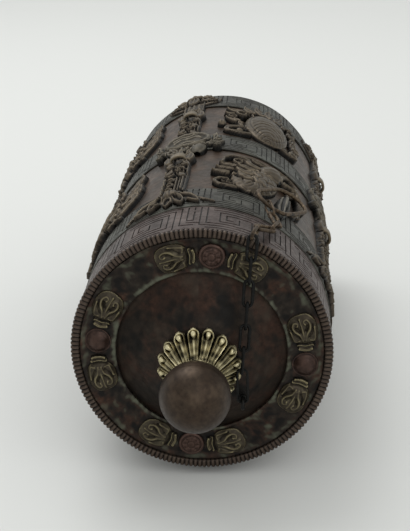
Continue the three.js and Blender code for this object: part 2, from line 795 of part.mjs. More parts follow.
// Links stand on edge and lie flat by turns. A flat link's end wires lie on the hinge
// points up the lid, and an upright link's end wires are the posts that turn on the case.
function chainLinks() {
  const links = [];
  let at = pearRingTop.clone();
  const lidOut = new THREE.Vector3(0, -1, 0);
  const upFace = rimCrossing.clone().sub(pearRingTop).normalize();
  for (let i = 0; i < faceLinks; i += 1) {
    const upright = i % 2 === 0;
    const reach = upright ? linkPitch - bite : linkLine;
    const next = at.clone().addScaledVector(upFace, reach);
    const past = upright ? bite : 0;
    links.push({ from: at, to: next, past: [past, past], upright, out: lidOut });
    at = next;
  }
  sideMarks.forEach(([angle, along, radius], i) => {
    const upright = i % 2 === 0;
    const reach = i === 0 ? linkPitch : upright ? linkLine : linkPitch - bite;
    const next = at.clone().add(around(angle, radius, along).sub(at).setLength(reach));
    const past = i === 0 ? [bite, 0] : upright ? [0, 0] : [bite, bite];
    const out = outOf(at.clone().add(next));
    if (i === 0) out.add(upFace).normalize();
    links.push({ from: at, to: next, past, upright, out });
    at = next;
  });
  return links;
}

function addChain() {
  const links = chainLinks();
  links.forEach(({ from, to, past, upright, out }, i) => {
    const along = to.clone().sub(from).normalize();
    const side = new THREE.Vector3().crossVectors(along, out).normalize();
    add(`chain_link_${String(i + 1).padStart(2, '0')}`, wireRing({
      from: from.clone().addScaledVector(along, -past[0]),
      to: to.clone().addScaledVector(along, past[1]),
      flatTo: upright ? side : out, width: linkWidth, thick: wire }), 'blackenedIron');
  });
  add('pear_ring', wireRing({ from: eyePlace, to: pearRingTop,
    flatTo: new THREE.Vector3(0, -1, 0), width: pearRingWidth, thick: wire, taper: 0.85 }),
  'blackenedIron');
  addCatchLoop(links[links.length - 1].to);
}

// Oval end loop, lying round the stud and turned a little off the case's axis
function addCatchLoop(joint) {
  const startAngle = THREE.MathUtils.radToDeg(Math.atan2(joint.x, joint.z));
  const startRadius = Math.hypot(joint.x, joint.z);
  const sideways = catchLoopLength * Math.sin(radians(catchLoopTurn));
  const farAngle = startAngle + THREE.MathUtils.radToDeg(sideways / startRadius);
  const farAlong = joint.y + catchLoopLength * Math.cos(radians(catchLoopTurn));
  const far = around(farAngle, startRadius + catchLoopClimb, farAlong);
  const along = far.clone().sub(joint).normalize();
  const from = joint.clone().addScaledVector(along, -(wire + loopWire) / 2 - seat);
  const out = outOf(joint.clone().add(far));
  add('catch_loop', wireRing({ from, to: far, flatTo: out, width: catchLoopWidth,
    thick: loopWire, sides: 8 }), 'blackenedIron');
}

// Eye stud on the lid that holds the chain's first ring
function addEye() {
  const ring = new THREE.TorusGeometry(eyeRingRadius, eyeRingWire / 2, 6, 12);
  ring.rotateY(Math.PI / 2);
  const lift = eyeRingRadius - eyeRingWire / 2 - wire / 2 - seat;
  ring.translate(eyePlace.x, eyePlace.y, eyePlace.z - lift);
  const ringFoot = eyeRise - eyeRingRadius;
  const radius = Math.hypot(eyePlace.x, eyePlace.z - lift);
  const surface = domeHeightAt(radius) + slack;
  const shank = new THREE.CylinderGeometry(eyeShankRadius, eyeShankFoot,
    ringFoot - surface, 8);
  shank.translate(eyePlace.x, -(ringFoot + surface) / 2, eyePlace.z - lift);
  add('chain_eye', geometryOf(solid(ring).add(solid(shank))), 'blackenedIron');
}

// Highest point of the lid plate's front near a radius, between the profile's marks
function domeHeightAt(radius) {
  const marks = domeProfile();
  const near = radius - eyeShankFoot;
  for (let i = 0; i < marks.length - 1; i += 1) {
    const [inner, high] = marks[i];
    const [outer, low] = marks[i + 1];
    if (near <= outer) return high + (low - high) * (near - inner) / (outer - inner);
  }
  return marks[marks.length - 1][1];
}

addCaseSheets();
addLidSheets();
addVajras();
addCollar();
addFinial();
addStraps();
addEmblems();
addChain();
addEye();

// The origin is the middle of the underside of the whole object's box
caseGroup.updateMatrixWorld(true);
const box = new THREE.Box3().setFromObject(caseGroup, true);
caseGroup.position.set(-(box.min.x + box.max.x) / 2, -(box.min.y + box.max.y) / 2, -box.min.z);

export default root;
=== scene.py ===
import math

import bmesh
import bpy
import numpy as np
from mathutils import Matrix, Vector


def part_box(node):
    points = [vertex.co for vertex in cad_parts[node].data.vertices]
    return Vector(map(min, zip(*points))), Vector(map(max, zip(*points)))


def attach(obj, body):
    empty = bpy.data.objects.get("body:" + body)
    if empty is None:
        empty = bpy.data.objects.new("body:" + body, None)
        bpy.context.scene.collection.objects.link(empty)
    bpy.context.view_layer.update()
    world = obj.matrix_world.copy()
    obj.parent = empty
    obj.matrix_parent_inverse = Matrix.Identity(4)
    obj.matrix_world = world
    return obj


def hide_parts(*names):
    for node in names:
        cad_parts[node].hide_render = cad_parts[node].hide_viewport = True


# A round ritual case of copper sheet, lying on its side: its looks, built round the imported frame.
# Sizes are in millimetres from the middle of the beaded rim, along the case and out from its axis.
# Angles round the case are in degrees from straight up, towards +X.
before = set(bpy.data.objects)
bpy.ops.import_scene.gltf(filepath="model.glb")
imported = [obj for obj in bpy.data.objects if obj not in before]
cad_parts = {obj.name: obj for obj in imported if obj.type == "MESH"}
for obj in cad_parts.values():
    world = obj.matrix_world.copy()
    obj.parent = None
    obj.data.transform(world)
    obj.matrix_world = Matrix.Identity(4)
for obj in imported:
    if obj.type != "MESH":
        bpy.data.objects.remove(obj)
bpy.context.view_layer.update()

MM = 0.001
COLUMNS = 4
STRAP_ANGLE = -17
EMBLEM_ANGLE = 26
STUD_ANGLE = 36.5
VAJRAS = 4
VAJRA_ANGLE = 7
VAJRA_RADIUS = 46.0
# How far the middle of a vajra's head is from its boss, round the ring
VAJRA_HEAD = math.radians(21.5) * VAJRA_RADIUS
# Where the tunnel loops for the carrying cord stand along each strap
TUNNEL_LOOPS = {"front": 103.5, "rear": 191.5}
# Heights of a relief over its sheet: its hidden foot, what is cut off, and the sheet left bare
FOOT = -0.7
CUT_OFF = FOOT + 0.01
BARE = 0.3
# How far from the axis the relief and the stud may stand, and the sides of the frame's box
RELIEF_RADIUS = 64.6
STUD_RADIUS = 65.0
BOX_HALF_WIDTH = 62.2

shell_low, shell_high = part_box("case_shell")
rim_low, rim_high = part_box("rim_beading")
AXIS_X = (shell_low.x + shell_high.x) / 2
AXIS_Z = (shell_low.z + shell_high.z) / 2
RIM_Y = (rim_low.y + rim_high.y) / 2


def radius_of(node):
    """Outer radius of a round CAD node, in mm."""
    low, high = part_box(node)
    return (high.x - low.x) / 2 / MM


def reach_of(node):
    """Where a CAD node starts and ends along the case, in mm from the rim."""
    low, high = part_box(node)
    return (low.y - RIM_Y) / MM, (high.y - RIM_Y) / MM


SHELL_RADIUS = radius_of("case_shell")
UPPER_BAND = reach_of("upper_fret_band")
MIDDLE_BAND = reach_of("middle_fret_band")
BASE_BAND = reach_of("base_fret_band")


def around(angle, radius, along):
    """Points round the case's axis, in metres in the CAD frame."""
    angle, radius, along = np.broadcast_arrays(np.radians(angle), radius, along)
    return np.stack([AXIS_X + MM * radius * np.sin(angle), RIM_Y + MM * along,
                     AXIS_Z + MM * radius * np.cos(angle)], axis=-1)


def bell(value, middle, width):
    """1 in the middle, falling smoothly to nothing on both sides."""
    return np.exp(-((value - middle) / width) ** 2)


def uneven(x, y, size, seed):
    """Slow waves between about -1 and 1, as hand work leaves them, size mm apart."""
    waves = np.random.default_rng(seed)
    total = np.zeros(np.broadcast(x, y).shape)
    for _ in range(7):
        turn, phase = waves.uniform(0, 2 * math.pi, 2)
        pitch = size * waves.uniform(0.6, 1.6)
        across = x * math.cos(turn) + y * math.sin(turn)
        total = total + np.cos(math.tau * across / pitch + phase)
    return total / 3.5


# Meshes

def add_object(name, data):
    """Puts a new object into the scene."""
    made = bpy.data.objects.new(name, data)
    bpy.context.scene.collection.objects.link(made)
    return made


def grid_faces(rows, cols, round_rows, round_cols):
    """Four-sided faces between the points of a grid, closed round where asked."""
    row = np.arange(rows if round_rows else rows - 1)
    col = np.arange(cols if round_cols else cols - 1)
    row, col = np.meshgrid(row, col, indexing="ij")
    up, right = (row + 1) % rows, (col + 1) % cols
    return np.stack([row * cols + col, row * cols + right, up * cols + right, up * cols + col],
                    axis=-1).reshape(-1, 4)


def facing_out(points, faces):
    """The faces turned so that they look away from the middle of the case."""
    middle = np.array([AXIS_X, RIM_Y + 120 * MM, AXIS_Z])
    corners = points[faces]
    normal = np.cross(corners[:, 2] - corners[:, 0], corners[:, 3] - corners[:, 1])
    outward = np.einsum("ij,ij->i", corners.mean(axis=1) - middle, normal).sum()
    return faces if outward > 0 else faces[:, ::-1]


def make_piece(name, points, finish, wear_and_painted_light=0.5, crease=38, round_rows=True, round_cols=True,
               shown=1):
    """A mesh object from a grid of points in metres, closed round where asked.

    The fourth argument sets how bright each point is coloured, by wear and by painted light and
    shade, and a face is left out where shown isn't above 0."""
    grid = points.shape[:2]
    faces = grid_faces(*grid, round_rows, round_cols)
    faces = faces[np.broadcast_to(shown, grid).ravel()[faces].max(axis=1) > 0]
    points = points.reshape(-1, 3)
    mesh = bpy.data.meshes.new(name)
    mesh.from_pydata(points.tolist(), [], facing_out(points, faces).tolist())
    # The attribute carries wear together with painted light and shade to the finish
    worn_and_lit = mesh.attributes.new("wear_and_painted_light", "FLOAT", "POINT")
    worn_and_lit.data.foreach_set("value", np.broadcast_to(wear_and_painted_light, grid).ravel().astype(np.float32))
    made = add_object(name, mesh)
    mesh.materials.append(finish)
    # Points that meet on the axis become one, and those of faces left out go
    tidy = bmesh.new()
    tidy.from_mesh(mesh)
    bmesh.ops.remove_doubles(tidy, verts=tidy.verts, dist=1e-7)
    loose = [v for v in tidy.verts if not v.link_faces]
    bmesh.ops.delete(tidy, geom=loose, context="VERTS")
    tidy.to_mesh(mesh)
    tidy.free()
    mesh.shade_smooth()
    mesh.set_sharp_from_angle(angle=math.radians(crease))
    return made


def settle(made, body, node):
    """The piece rides on its body and stands for its CAD node."""
    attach(made, body)
    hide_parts(node)


def every_column(sources, node):
    """Copies of the pieces in each column round the case, in place of the first ones."""
    axis = Vector((AXIS_X, 0, AXIS_Z))
    for k in range(COLUMNS):
        turn = Matrix.Rotation(math.radians(360 / COLUMNS * k), 4, "Y")
        for source in sources:
            copy = add_object(f"{source.name}_{k + 1}", source.data)
            copy.matrix_world = Matrix.Translation(axis) @ turn @ Matrix.Translation(-axis)
            settle(copy, "case", f"{node}_{k + 1}")
    for source in sources:
        bpy.data.objects.remove(source)


def smooth_curve(points, steps=9, closed=False):
    """Flat points on a smooth line through the given ones."""
    marks = np.array(points, float)
    if closed:
        before, after = marks[[-1]], marks[:2]
    else:
        before, after = 2 * marks[[0]] - marks[[1]], 2 * marks[[-1]] - marks[[-2]]
    marks = np.concatenate([before, marks, after])
    a, b, c, d = (marks[i:len(marks) - 3 + i, None] for i in range(4))
    share = (np.arange(steps) / steps)[:, None]
    line = 0.5 * (2 * b + (c - a) * share + (2 * a - 5 * b + 4 * c - d) * share ** 2
                  + (3 * b - a - 3 * c + d) * share ** 3)
    return np.concatenate([line.reshape(-1, 2), marks[[-2]]])


def turned(name, profile, finish, seed, dent=0.0, segments=240, wear_and_painted_light=0.5):
    """A turned sheet from a closed list of (radius, along) marks, with dents of so many mm."""
    marks = np.array(profile, float)
    angle = np.arange(segments)[:, None] * 360 / segments
    wave = uneven(angle, marks[:, 1] * 1.3, 31, seed)
    radius = marks[:, 0] + dent * np.minimum(marks[:, 0] / 20, 1) * wave
    points = around(angle, radius, marks[:, 1])
    return make_piece(name, points, finish, wear_and_painted_light, shown=marks[:, 0] - 1e-6)


def flat_topped(edge):
    """Height of a form with a flat top and round shoulders: 1 in its middle, 0 from its edge."""
    return np.maximum(1 - edge ** 4, 0) ** 0.4


def each(form, rows, **same):
    """Lays a form on a relief once for each row of numbers."""
    for row in rows:
        form(*row, **same)


def mirrored(side, *points):
    """The points, with their x turned over for the left side."""
    return [(side * x, y) for x, y in points]


class Relief:
    """Raised and chased sheet over a flat field: x round the case, y along it, heights in mm.

    Painted shade darkens the low ground below the height given last."""

    def __init__(self, low, high, step, shade_below=2.1):
        across = np.arange(low[0], high[0] + step / 2, step)
        along = np.arange(low[1], high[1] + step / 2, step)
        self.x, self.y = np.meshgrid(across, along)
        self.step = step
        self.shade_below = shade_below
        self.height = np.full(self.x.shape, FOOT)

    def seen_from(self, x, y, turn):
        """Each point's place across and along a line through a point, turned by so many degrees."""
        c, s = math.cos(math.radians(turn)), math.sin(math.radians(turn))
        return (self.x - x) * c + (self.y - y) * s, (self.y - y) * c - (self.x - x) * s

    def oval(self, x, y, long, wide, turn=0):
        """How far each point is from an oval's middle, as a share of its reach there."""
        across, along = self.seen_from(x, y, turn)
        return np.hypot(across / wide, along / long)

    def near(self, points, closed=False):
        """Each point's distance to a curve, and how far along the curve its nearest place is."""
        line = smooth_curve(points, closed=closed)
        lengths = np.hypot(*np.diff(line, axis=0).T)
        marks = np.concatenate([[0], np.cumsum(lengths)]) / lengths.sum()
        near = np.full(self.x.shape, 1e9)
        share = np.zeros(self.x.shape)
        for a, b, start, end in zip(line[:-1], line[1:], marks[:-1], marks[1:]):
            run = b - a
            part = ((self.x - a[0]) * run[0] + (self.y - a[1]) * run[1]) / max(run @ run, 1e-9)
            part = np.clip(part, 0, 1)
            gap = np.hypot(self.x - a[0] - part * run[0], self.y - a[1] - part * run[1])
            closer = gap < near
            near = np.where(closer, gap, near)
            share = np.where(closer, start + (end - start) * part, share)
        return near, share

    def lay(self, height, outside):
        """Lays a form over what is there, with a deep punched line just outside its edge."""
        line = 0.6 * bell(outside, 0.5, 0.5)
        self.height = np.where(self.height > BARE, self.height * (1 - line), self.height)
        self.height = np.maximum(self.height, np.where(outside < 0, height, FOOT))

    def mound(self, x, y, long, wide, rise, turn=0, full=0.5, vein=0.0):
        """A domed oval. A small full makes its top flatter, and a vein is a groove along it."""
        edge = self.oval(x, y, long, wide, turn)
        height = rise * np.maximum(1 - edge ** 2, 0) ** full
        if vein:
            across, _ = self.seen_from(x, y, turn)
            height = height - 0.2 * vein * (0.5 + 0.5 * np.cos(across * math.tau / 1.5))
            height = height - vein * bell(self.oval(x, y, long * 0.8, 0.5, turn), 0, 1)
        self.lay(height, (edge - 1) * min(long, wide))

    def ribbon(self, points, width, rise, lines=1, ends=(1, 1), bulge=0.0, closed=False):
        """A raised strip along a curve, with chased lines along it."""
        near, share = self.near(points, closed)
        half = width / 2 * (ends[0] * (1 - share) + ends[1] * share + bulge * np.sin(np.pi * share))
        edge = near / np.maximum(half, 0.05)
        height = rise * flat_topped(edge)
        if lines == 1:
            height = height - 0.9 * (0.5 + 0.5 * np.cos(np.pi * edge))
        elif lines == 2:
            height = height - 0.7 * (0.5 - 0.5 * np.cos(3 * np.pi * edge)) * (edge < 0.67)
        self.lay(height, near - half)

    def leaf(self, x, y, long, wide, rise, turn=0, dip=1.2, vein=0.7):
        """A pointed leaf: a raised rim and a vein, with the sheet sunk between them."""
        across, along = self.seen_from(x, y, turn)
        edge = np.abs(across / wide) + (along / long) ** 2
        height = (rise - dip) * flat_topped(edge) + dip * bell(edge, 0.78, 0.2)
        height = height + vein * bell(across, 0, 0.5) * (edge < 0.8)
        self.lay(height, (edge - 1) * wide)

    def loop(self, x, y, radius, width, rise, squash=1.0):
        """A round opening with a raised ribbon about it, sunk inside to the bare sheet, where
        painted shade makes it dark.
        """
        edge = self.oval(x, y, radius * squash, radius)
        sunk = self.height - rise * np.clip((1 - edge) * 2.5, 0, 1)
        self.height = np.where(self.height > BARE, np.maximum(sunk, BARE), self.height)
        turns = np.radians(np.arange(0, 360, 45))
        ring = [(x + radius * math.cos(t), y + squash * radius * math.sin(t)) for t in turns]
        self.ribbon(ring, width, rise, lines=0, closed=True)

    def curl(self, x, y, size, start, rise, width, way=1):
        """A scroll that winds in on itself, with its ball end in the middle."""
        reach = size * np.linspace(1, 0.24, 9)
        turns = np.radians(start + way * np.linspace(0, 400, 9))
        line = list(zip(x + reach * np.cos(turns), y + reach * np.sin(turns)))
        self.ribbon(line, width, rise, lines=0, ends=(0.55, 0.8))
        self.mound(*line[-1], size * 0.22, size * 0.22, rise + 0.3)

    def ridge(self, points, width, rise):
        """Raises a fine line on what is there, or sinks one where its rise is below nothing."""
        near, _ = self.near(points)
        line = rise * bell(near, 0, width / 2)
        self.height = np.where(self.height > CUT_OFF, self.height + line, self.height)

    def chase(self, field, where, depth, fine):
        """Punches a fine line wherever the field passes a whole number, inside a mask."""
        self.height = self.height - depth * where * bell(field, np.round(field), fine)

    def inside(self, x, y, long, wide):
        """1 inside an oval, fading at its edge."""
        return np.clip((1 - self.oval(x, y, long, wide)) * 5, 0, 1)

    def wear_and_painted_light(self):
        """How bright each point is coloured: high edges are rubbed bright and hollows stay dark, and
        painted shade darkens steep walls and the low ground at each form's foot.
        """
        level = self.height
        for _ in range(max(2, round(1.1 / self.step))):
            padded = np.pad(level, 1, mode="edge")
            level = (padded[:-2, 1:-1] + padded[2:, 1:-1] + padded[1:-1, :-2] + padded[1:-1, 2:]
                     + padded[1:-1, 1:-1]) / 5
        crest = np.clip(self.height - level, -0.7, 0.27)
        # Painted shade: the low ground at the foot of each form and its steep walls are darkened
        # where shadows fall
        foot = np.clip(1 - self.height / self.shade_below, 0, 1)
        steep = np.hypot(*np.gradient(self.height, self.step))
        painted_shade = 0.42 * foot + 0.46 * np.clip((steep - 1.4) / 2.8, 0, 1)
        return np.clip(0.44 + 1.0 * crest + 0.026 * self.height - painted_shade, 0, 1)

    def piece(self, name, finish, place, seed):
        """The relief as a mesh, without what lies under the sheet that carries it."""
        hammered = self.height + 0.16 * uneven(self.x, self.y, 5, seed)
        self.height = np.where(self.height > CUT_OFF, hammered, self.height)
        return make_piece(name, place(self.x, self.y, self.height), finish, self.wear_and_painted_light(), crease=180,
                          round_rows=False, round_cols=False, shown=self.height - CUT_OFF)


def on_case(angle, along, ceiling=RELIEF_RADIUS):
    """Places a relief on the case's wall round an angle, and keeps it inside the frame's box."""
    def place(x, y, height):
        turn = angle + np.degrees(x / SHELL_RADIUS)
        lean = np.maximum(np.abs(np.sin(np.radians(turn))), np.abs(np.cos(np.radians(turn))))
        limit = np.minimum(ceiling, BOX_HALF_WIDTH / lean)
        return around(turn, np.minimum(SHELL_RADIUS + height, limit), along + y)
    return place


# Finishes

# Sizes in mm of the small dark spots and of the fine pits in every metal here
MOTTLE = 2.6
GRAIN = 0.9


def colour(value):
    """Linear colour from an sRGB hex value."""
    channels = [(value >> shift & 255) / 255 for shift in (16, 8, 0)]
    linear = [c / 12.92 if c <= 0.04045 else ((c + 0.055) / 1.055) ** 2.4 for c in channels]
    return (*linear, 1.0)


def add_node(tree, kind, inputs=None, **settings):
    """Adds a shader node with its settings, and fills its sockets with values or links."""
    made = tree.nodes.new(kind)
    for name, value in settings.items():
        setattr(made, name, value)
    for socket, value in (inputs or {}).items():
        if isinstance(value, bpy.types.NodeSocket):
            tree.links.new(value, made.inputs[socket])
        else:
            made.inputs[socket].default_value = value
    return made


def old_metal(name, hollow_and_shade, body, worn_and_lit, stain, cloud, roughness, pits, stain_from=0.55,
              metallic=0.7, bright=(0.55, 0.9), dark=(0.36, 0.12), spotty=0.55):
    """Metal with patina: dark in the hollows, rubbed on the edges, stained in clouds, and lighter
    and darker where a piece paints light and shade into its attribute.

    cloud is the size of the stains and pits the depth of the fine pits, in mm, and spotty is how
    far the small dark spots cover the sheet. bright and dark are the levels of the piece's
    attribute between which the worn tone, which also paints highlights, and the hollows' tone,
    which also paints shade, come in."""
    made = bpy.data.materials.new(name)
    made.use_nodes = True
    tree = made.node_tree
    shader = tree.nodes["Principled BSDF"]
    shader.inputs["Metallic"].default_value = metallic
    place = add_node(tree, "ShaderNodeTexCoord").outputs["Object"]
    wear_and_painted_light = add_node(tree, "ShaderNodeAttribute", attribute_name="wear_and_painted_light").outputs["Fac"]
    clouds, mottle, fine = (add_node(tree, "ShaderNodeTexNoise", {
        "Vector": place, "Scale": 1 / (size * MM), "Detail": detail, "Roughness": rough,
        "Distortion": bend}).outputs["Fac"] for size, detail, rough, bend in (
            (cloud, 5.0, 0.6, 0.4), (MOTTLE, 4.0, 0.65, 0.0), (GRAIN, 3.0, 0.6, 0.0)))
    shown = colour(body)
    # Low levels of the piece's attribute bring in the hollows' tone, which also serves as painted
    # shade, and high levels the worn tone, which also serves as painted highlight
    for level, start, end, most, tone in (
            (clouds, stain_from - 0.07, stain_from + 0.1, 1.0, stain),
            (mottle, 0.35, 0.7, spotty, hollow_and_shade),
            (wear_and_painted_light, *dark, 1.0, hollow_and_shade), (wear_and_painted_light, *bright, 1.0, worn_and_lit)):
        share = add_node(tree, "ShaderNodeMapRange", {
            "Value": level, "From Min": start, "From Max": end, "To Max": most})
        shown = add_node(tree, "ShaderNodeMix", {
            0: share.outputs["Result"], 6: shown, 7: colour(tone)}, data_type="RGBA").outputs[2]
    rough = add_node(tree, "ShaderNodeMapRange", {
        "Value": mottle, "From Min": 0.3, "From Max": 0.7, "To Min": roughness[0],
        "To Max": roughness[1]})
    bump = add_node(tree, "ShaderNodeBump", {"Height": fine, "Distance": pits * MM})
    for output, socket in ((shown, "Base Color"), (rough.outputs["Result"], "Roughness"),
                           (bump.outputs["Normal"], "Normal")):
        tree.links.new(output, shader.inputs[socket])
    return made


# Copper sheet of the fields, raised by hammer: purple-brown, with paler and redder worn clouds
field_copper = old_metal("raised_copper_sheet", 0x251b14, 0x3b2f25, 0x5a493b, 0x574334,
                         cloud=16, stain_from=0.52, roughness=(0.38, 0.52), pits=0.03, spotty=0.45)
# Lid skirt: the same sheet, pinker where hands have rubbed it, chased lines filled with dirt
skirt_copper = old_metal("chased_copper_skirt", 0x1e1714, 0x564945, 0x7c6c66, 0x645955,
                         cloud=20, roughness=(0.38, 0.55), pits=0.03, dark=(0.45, 0.2))
# Fret bands: thin chased sheet with a grey-green bloom
band_copper = old_metal("chased_copper_band", 0x1b1915, 0x494741, 0x6d6a61, 0x5a5b53,
                        cloud=18, roughness=(0.42, 0.6), pits=0.03, dark=(0.45, 0.2), spotty=0.65)
# Applied relief: copper pushed up from behind, near black in its hollows and in the shade painted on
# its steep walls and low ground, brown on its edges
relief_copper = old_metal("repousse_copper_relief", 0x0d0b09, 0x433a30, 0x706554, 0x4c4237,
                          cloud=10, roughness=(0.4, 0.58), pits=0.05, bright=(0.47, 0.85),
                          dark=(0.4, 0.2), spotty=0.4)
# Medallions: the same sheet with a grey-green bloom
dish_copper = old_metal("bloomed_copper_dish", 0x0e0c0a, 0x413b31, 0x7c7466, 0x444037,
                        cloud=9, roughness=(0.42, 0.6), pits=0.05, bright=(0.5, 0.85),
                        dark=(0.4, 0.22), spotty=0.45)
# Beaded rim: cast copper bead ring, red-brown and greasy between the beads
rim_copper = old_metal("beaded_copper_rim", 0x130f0c, 0x453931, 0x7a6a5e, 0x4e4237,
                       cloud=11, roughness=(0.38, 0.52), pits=0.03)
# Middle of the lid: spun copper gone dark, with blushes of bare red copper
plate_copper = old_metal("spun_copper_plate", 0x15120f, 0x2b231c, 0x3f352c, 0x3c281e,
                         cloud=15, stain_from=0.52, roughness=(0.5, 0.66), pits=0.02,
                         bright=(0.56, 0.95), dark=(0.44, 0.2), spotty=0.6)
# Ball: polished copper, brown-pink with small pits
ball_copper = old_metal("polished_copper_ball", 0x261c15, 0x3a2d22, 0x594a3c, 0x41352a,
                        cloud=9, stain_from=0.5, roughness=(0.38, 0.52), pits=0.03, spotty=0.8)
# Ornament ring: brass sheet, brown-black where bare and grey-green where verdigris sits
ring_brass = old_metal("verdigris_brass_ring", 0x151210, 0x2d2620, 0x5c5e50, 0x4a3125,
                       cloud=16, stain_from=0.56, roughness=(0.44, 0.64), pits=0.07,
                       bright=(0.53, 0.95), dark=(0.45, 0.16), spotty=0.6)
# Vajras: the same brass struck from behind, green in the hollows and olive-gold on the ridges
vajra_brass = old_metal("struck_brass_vajra", 0x171410, 0x423a2e, 0xa69a74, 0x4f4838,
                        cloud=6, roughness=(0.36, 0.54), pits=0.05, bright=(0.56, 0.86),
                        dark=(0.38, 0.16), spotty=0.5)
# Rosette bosses: soft red copper rivets
boss_copper = old_metal("copper_rivet_boss", 0x1f1512, 0x49362e, 0x745b52, 0x3f2f29,
                        cloud=6, roughness=(0.35, 0.5), pits=0.03)
# Lotus collar: cast brass, its ridges still bright
collar_brass = old_metal("cast_brass_collar", 0x221e14, 0x8c8263, 0xd6cba4, 0x8a8164,
                         cloud=7, metallic=0.85, roughness=(0.26, 0.42), pits=0.03,
                         bright=(0.5, 0.95), dark=(0.4, 0.12))
# Chain over the lid: forged iron, black with oil
chain_iron = old_metal("blackened_iron_wire", 0x080807, 0x121211, 0x34322f, 0x1b1917,
                       cloud=5, roughness=(0.4, 0.6), pits=0.06)
# Chain along the case: the same wire with brown rust and dust
rusty_iron = old_metal("browned_iron_wire", 0x241c15, 0x5b4d3d, 0x8f7f67, 0x665442,
                       cloud=5, roughness=(0.45, 0.65), pits=0.08, dark=(0.3, 0.05))
# Stud: forged iron, near black between its ribs and in the shade painted on its steep flanks, and
# rubbed grey along its ribs, a grey that also paints in their highlights
stud_iron = old_metal("forged_iron_stud", 0x090908, 0x161412, 0x7d776c, 0x1b1917,
                      cloud=5, roughness=(0.4, 0.55), pits=0.05, bright=(0.6, 0.84),
                      dark=(0.46, 0.24))
# Inside of the case: tinned copper gone dull
inner_tin = old_metal("tinned_copper_inside", 0x3b3732, 0x6d6861, 0x8f8a82, 0x57504a,
                      cloud=22, roughness=(0.45, 0.6), pits=0.02)


# Case

# The key fret's lattice: columns in a repeat, repeats round the case, rows
FRET_TILE = 14
FRET_TILES = 9
FRET_ROWS = 10


def fret_edges():
    """Which edges of the lattice are chased: broad keys, nested one in the other."""
    keys = [
        [(0, 9), (0, 1), (9, 1), (9, 7), (3, 7), (3, 3), (6, 3), (6, 5)],
        [(1, 9), (1, 2), (8, 2), (8, 6), (4, 6), (4, 4), (5, 4)],
        [(10, 0), (10, 8), (2, 8)],
        [(2, 9), (11, 9), (11, 1), (13, 1)],
        [(12, 9), (12, 3), (13, 3), (13, 7)],
        [(1, 0), (8, 0)],
        [(12, 2), (14, 2)],
        [(13, 9), (13, 8)],
    ]
    level, upright = np.zeros((2, FRET_TILE, FRET_ROWS), bool)
    for key in keys:
        for (x0, y0), (x1, y1) in zip(key[:-1], key[1:]):
            level[min(x0, x1):max(x0, x1), y0] = True
            upright[x0, min(y0, y1):max(y0, y1)] = True
    return np.tile(level, (FRET_TILES, 1)), np.tile(upright, (FRET_TILES, 1))


def fret_sleeve(name, node, wall, finish, seed):
    """Sheet sleeve with a chased key fret, open at both ends and closed to its inner wall."""
    groove, slope, depth = 0.2, 0.12, 0.42
    radius = radius_of(node)
    start, end = reach_of(node)
    pitch_along = (end - start) / (FRET_ROWS + 0.1)
    level, upright = fret_edges()
    columns = len(level)
    pitch = 2 * math.pi * radius / columns
    left, below = np.roll(level, 1, axis=0), np.zeros_like(upright)
    below[:, 1:] = upright[:, :-1]
    offsets = np.array([-groove - slope, -groove, groove, groove + slope])
    turn = np.degrees((np.arange(columns)[:, None] * pitch + offsets).ravel() / radius)[:, None]
    along = (start + (np.arange(FRET_ROWS) + 0.55)[:, None] * pitch_along + 1.8 * offsets).ravel()
    cut = np.zeros((columns, 4, FRET_ROWS, 4), bool)
    cut[:, 1:3, :, 1:3] = (level | left | upright | below)[:, None, :, None]
    cut[:, 1:3, :, 3] = upright[:, None, :]
    cut[:, 1:3, :, 0] = below[:, None, :]
    cut[:, 3, :, 1:3] = level[:, :, None]
    cut[:, 0, :, 1:3] = left[:, :, None]
    cut = np.pad(cut.reshape(columns * 4, FRET_ROWS * 4), ((0, 0), (2, 4)))
    along = np.concatenate([[start, start + 0.3], along, [end - 0.3, end, end, start]])
    out = np.full(len(along), radius)
    out[[0, -3]] = radius - 0.25
    out[-2:] = radius - wall
    shape = out - depth * cut + 0.12 * uneven(turn, along, 24, seed) * (out > radius - wall)
    shape = np.minimum(shape, radius)
    wear_and_painted_light = np.where(cut, 0.05, 0.5 + 0.12 * uneven(turn, along, 15, seed + 1))
    return make_piece(name, around(turn, shape, along), finish, wear_and_painted_light, crease=25)


def make_case_sheets():
    """Wall of the case, fret bands on it, neck that the lid slides over, and base with rings."""
    inner = SHELL_RADIUS - 1.6
    start, end = reach_of("case_shell")
    marks = [(SHELL_RADIUS, y) for y in np.linspace(start + 0.4, end - 0.4, 60)]
    marks = [(SHELL_RADIUS - 0.4, start), *marks, (SHELL_RADIUS - 0.4, end), (inner, end),
             (inner, start)]
    shell = turned("case_wall", marks, field_copper, 4, dent=0.14)
    settle(shell, "case", "case_shell")
    for node, seed in (("upper_fret_band", 5), ("middle_fret_band", 6), ("base_fret_band", 7)):
        band = fret_sleeve(f"{node}_chased", node, 0.7, band_copper, seed)
        settle(band, "case", node)
    neck = radius_of("neck_sleeve")
    start, end = reach_of("neck_sleeve")
    marks = [(neck - 0.5, start), (neck, start + 0.5), (neck, start + 6), (neck - 0.3, start + 6.6),
             (neck, start + 7.2), (neck, end), (neck - 1.2, end), (neck - 1.2, start + 0.5)]
    sleeve = turned("neck_wall", marks, inner_tin, 8, dent=0.04)
    settle(sleeve, "case", "neck_sleeve")
    start, end = reach_of("base_plate")
    edge, sunk = radius_of("base_plate"), end - 0.35
    marks = [(0, start), (edge, start), (edge, end - 0.4), (edge - 0.4, end), (edge - 3, end),
             (edge - 3.4, sunk), (edge - 3.8, end), (edge - 6, end), (edge - 6.4, sunk),
             (edge - 6.8, end), (12, end), (11.6, sunk), (11.2, end), (0, end)]
    base = turned("base_disc", marks, field_copper, 9, segments=180)
    settle(base, "case", "base_plate")


